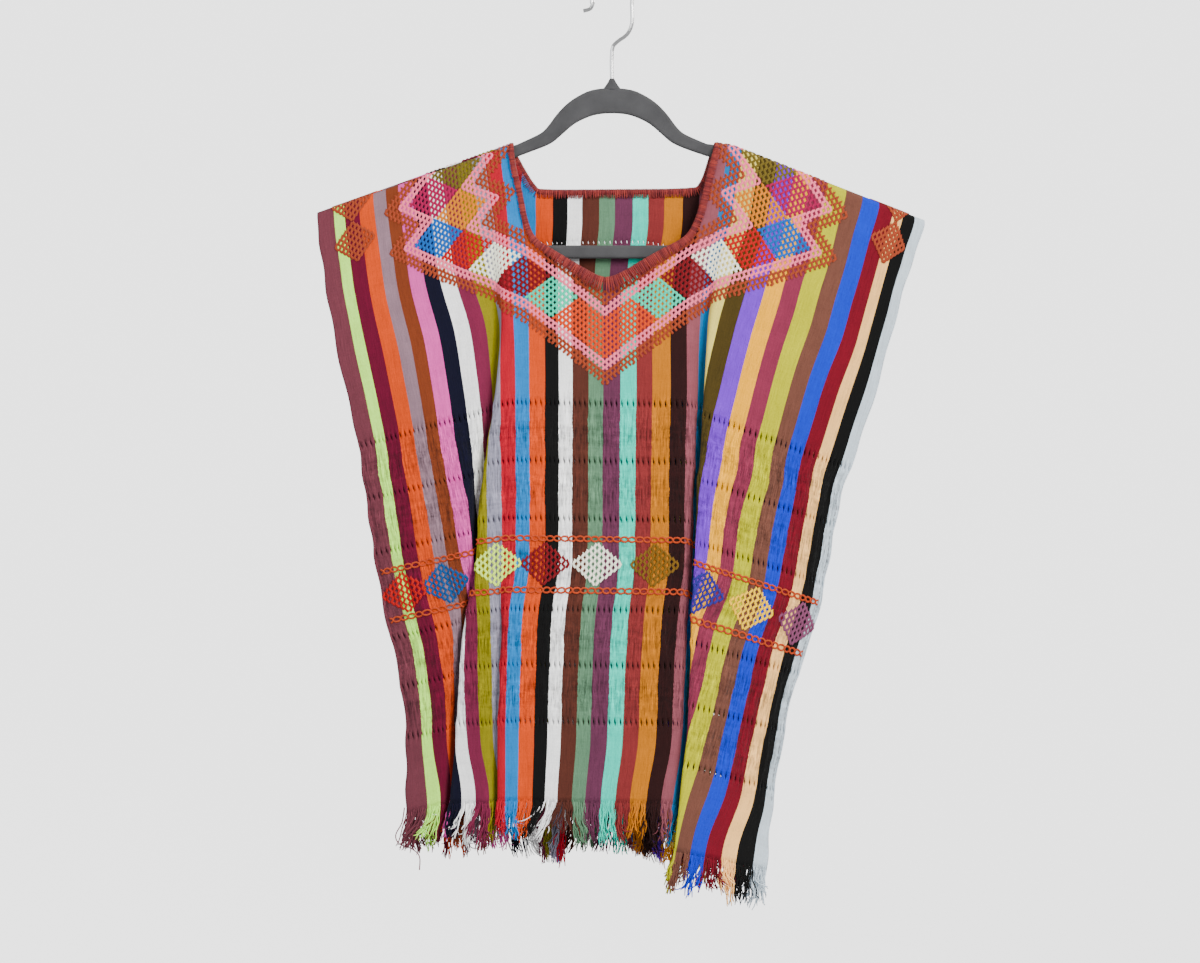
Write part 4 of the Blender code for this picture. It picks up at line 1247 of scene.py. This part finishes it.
def make_studio():
    """A pale floor that curves up into a round pale wall, far from the object on all sides."""
    turns = 64
    angles = np.arange(turns) * 2 * math.pi / turns
    bends = np.linspace(0.1, math.pi / 2, 10)
    profile = [(FLOOR_REACH, 0.0)]
    profile += [(FLOOR_REACH + FLOOR_CURVE * math.sin(a), FLOOR_CURVE * (1 - math.cos(a))) for a in bends]
    profile += [(FLOOR_REACH + FLOOR_CURVE, WALL_HEIGHT)]
    points = [(0.0, 0.0, FLOOR_Z)]
    for radius, height in profile:
        points += [(radius * math.cos(a), radius * math.sin(a), FLOOR_Z + height) for a in angles]
    faces = [(0, 1 + k, 1 + (k + 1) % turns) for k in range(turns)]
    for a in range(1, 1 + turns * (len(profile) - 1), turns):
        b = a + turns
        faces += [(a + k, b + k, b + (k + 1) % turns, a + (k + 1) % turns) for k in range(turns)]
    mesh = bpy.data.meshes.new("studio")
    mesh.from_pydata(points, [], faces)
    mesh.polygons.foreach_set("use_smooth", np.ones(len(mesh.polygons), bool))
    nodes = Nodes("studio_paint")
    nodes.finish(Base_Color=grey(0.86), Roughness=0.9, Emission_Color=grey(1.0), Emission_Strength=1.75)
    studio = new_object("studio", mesh, [nodes.material])
    studio.visible_shadow = studio.visible_diffuse = studio.visible_glossy = False

    world = bpy.data.worlds.new("studio_light")
    bpy.context.scene.world = world
    world.use_nodes = True
    background = world.node_tree.nodes["Background"]
    background.inputs["Color"].default_value = (0.98, 0.99, 1.0, 1.0)
    background.inputs["Strength"].default_value = 0.88


Light = namedtuple("Light", "name place size power warmth")
LIGHTS = [
    Light("key", (1.5, -2.2, 0.9), 1.6, 160.0, (1.0, 0.98, 0.95)),
    Light("fill", (-2.1, -1.6, 0.3), 1.8, 30.0, (0.95, 0.98, 1.0)),
    Light("rear", (1.0, 2.3, 0.8), 1.8, 84.0, (1.0, 0.99, 0.97)),
]


def make_lights():
    for light in LIGHTS:
        data = bpy.data.lights.new(light.name, "AREA")
        data.shape = "DISK"
        data.size, data.energy, data.color = light.size, light.power, light.warmth
        lamp = stand(light.name, data)
        lamp.location = light.place
        lamp.visible_camera = False
        lamp.rotation_euler = (LIGHTS_AIM - Vector(light.place)).to_track_quat("-Z", "Y").to_euler()


# ---------------- putting it together

def main():
    make_camera()
    make_studio()
    make_lights()

    cloth = cloth_material("striped_cotton")
    front = make_cloth("front_cloth", FRONT, NECK_FRONT, cloth)
    back = make_cloth("back_cloth", BACK, NECK_BACK, cloth)
    loose = cloth_material("loose_warp", True)
    front_fringe = make_fringe("front_fringe_threads", FRONT, 21, loose)
    back_fringe = make_fringe("back_fringe_threads", BACK, 34, loose)

    yoke = make_yoke(thread_materials("thread", THREADS))
    band = make_band(thread_materials("thread", {patch.thread: patch.rgb for patch in BAND} | CHAIN_THREAD))
    binding = make_binding(thread_materials("binding", BINDING_THREADS))
    seams = make_seams(thread_materials("seam", SEAM_THREADS))

    flock, chrome = flock_material(), chrome_material()
    peak = make_peak(flock)

    for piece, nodes, slot in (
        (front, ["front_panel"], "cloth"),
        (back, ["back_panel"], "cloth"),
        (front_fringe, ["front_fringe"], "fringe"),
        (back_fringe, ["back_fringe"], "fringe"),
        (binding, ["neck_binding"], "binding"),
        (yoke, [], "binding"),
        (band, [], "binding"),
        (seams, [], "binding"),
        (peak, ["hanger_collar"], "flock"),
    ):
        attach(piece, "root")
        if nodes:
            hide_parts(*nodes)

    for sheet, carried in ((front, [front_fringe, yoke, band]), (back, [back_fringe])):
        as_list(carried)

    dress_node("hanger_frame", flock)
    dress_node("hanger_hook", chrome)


main()
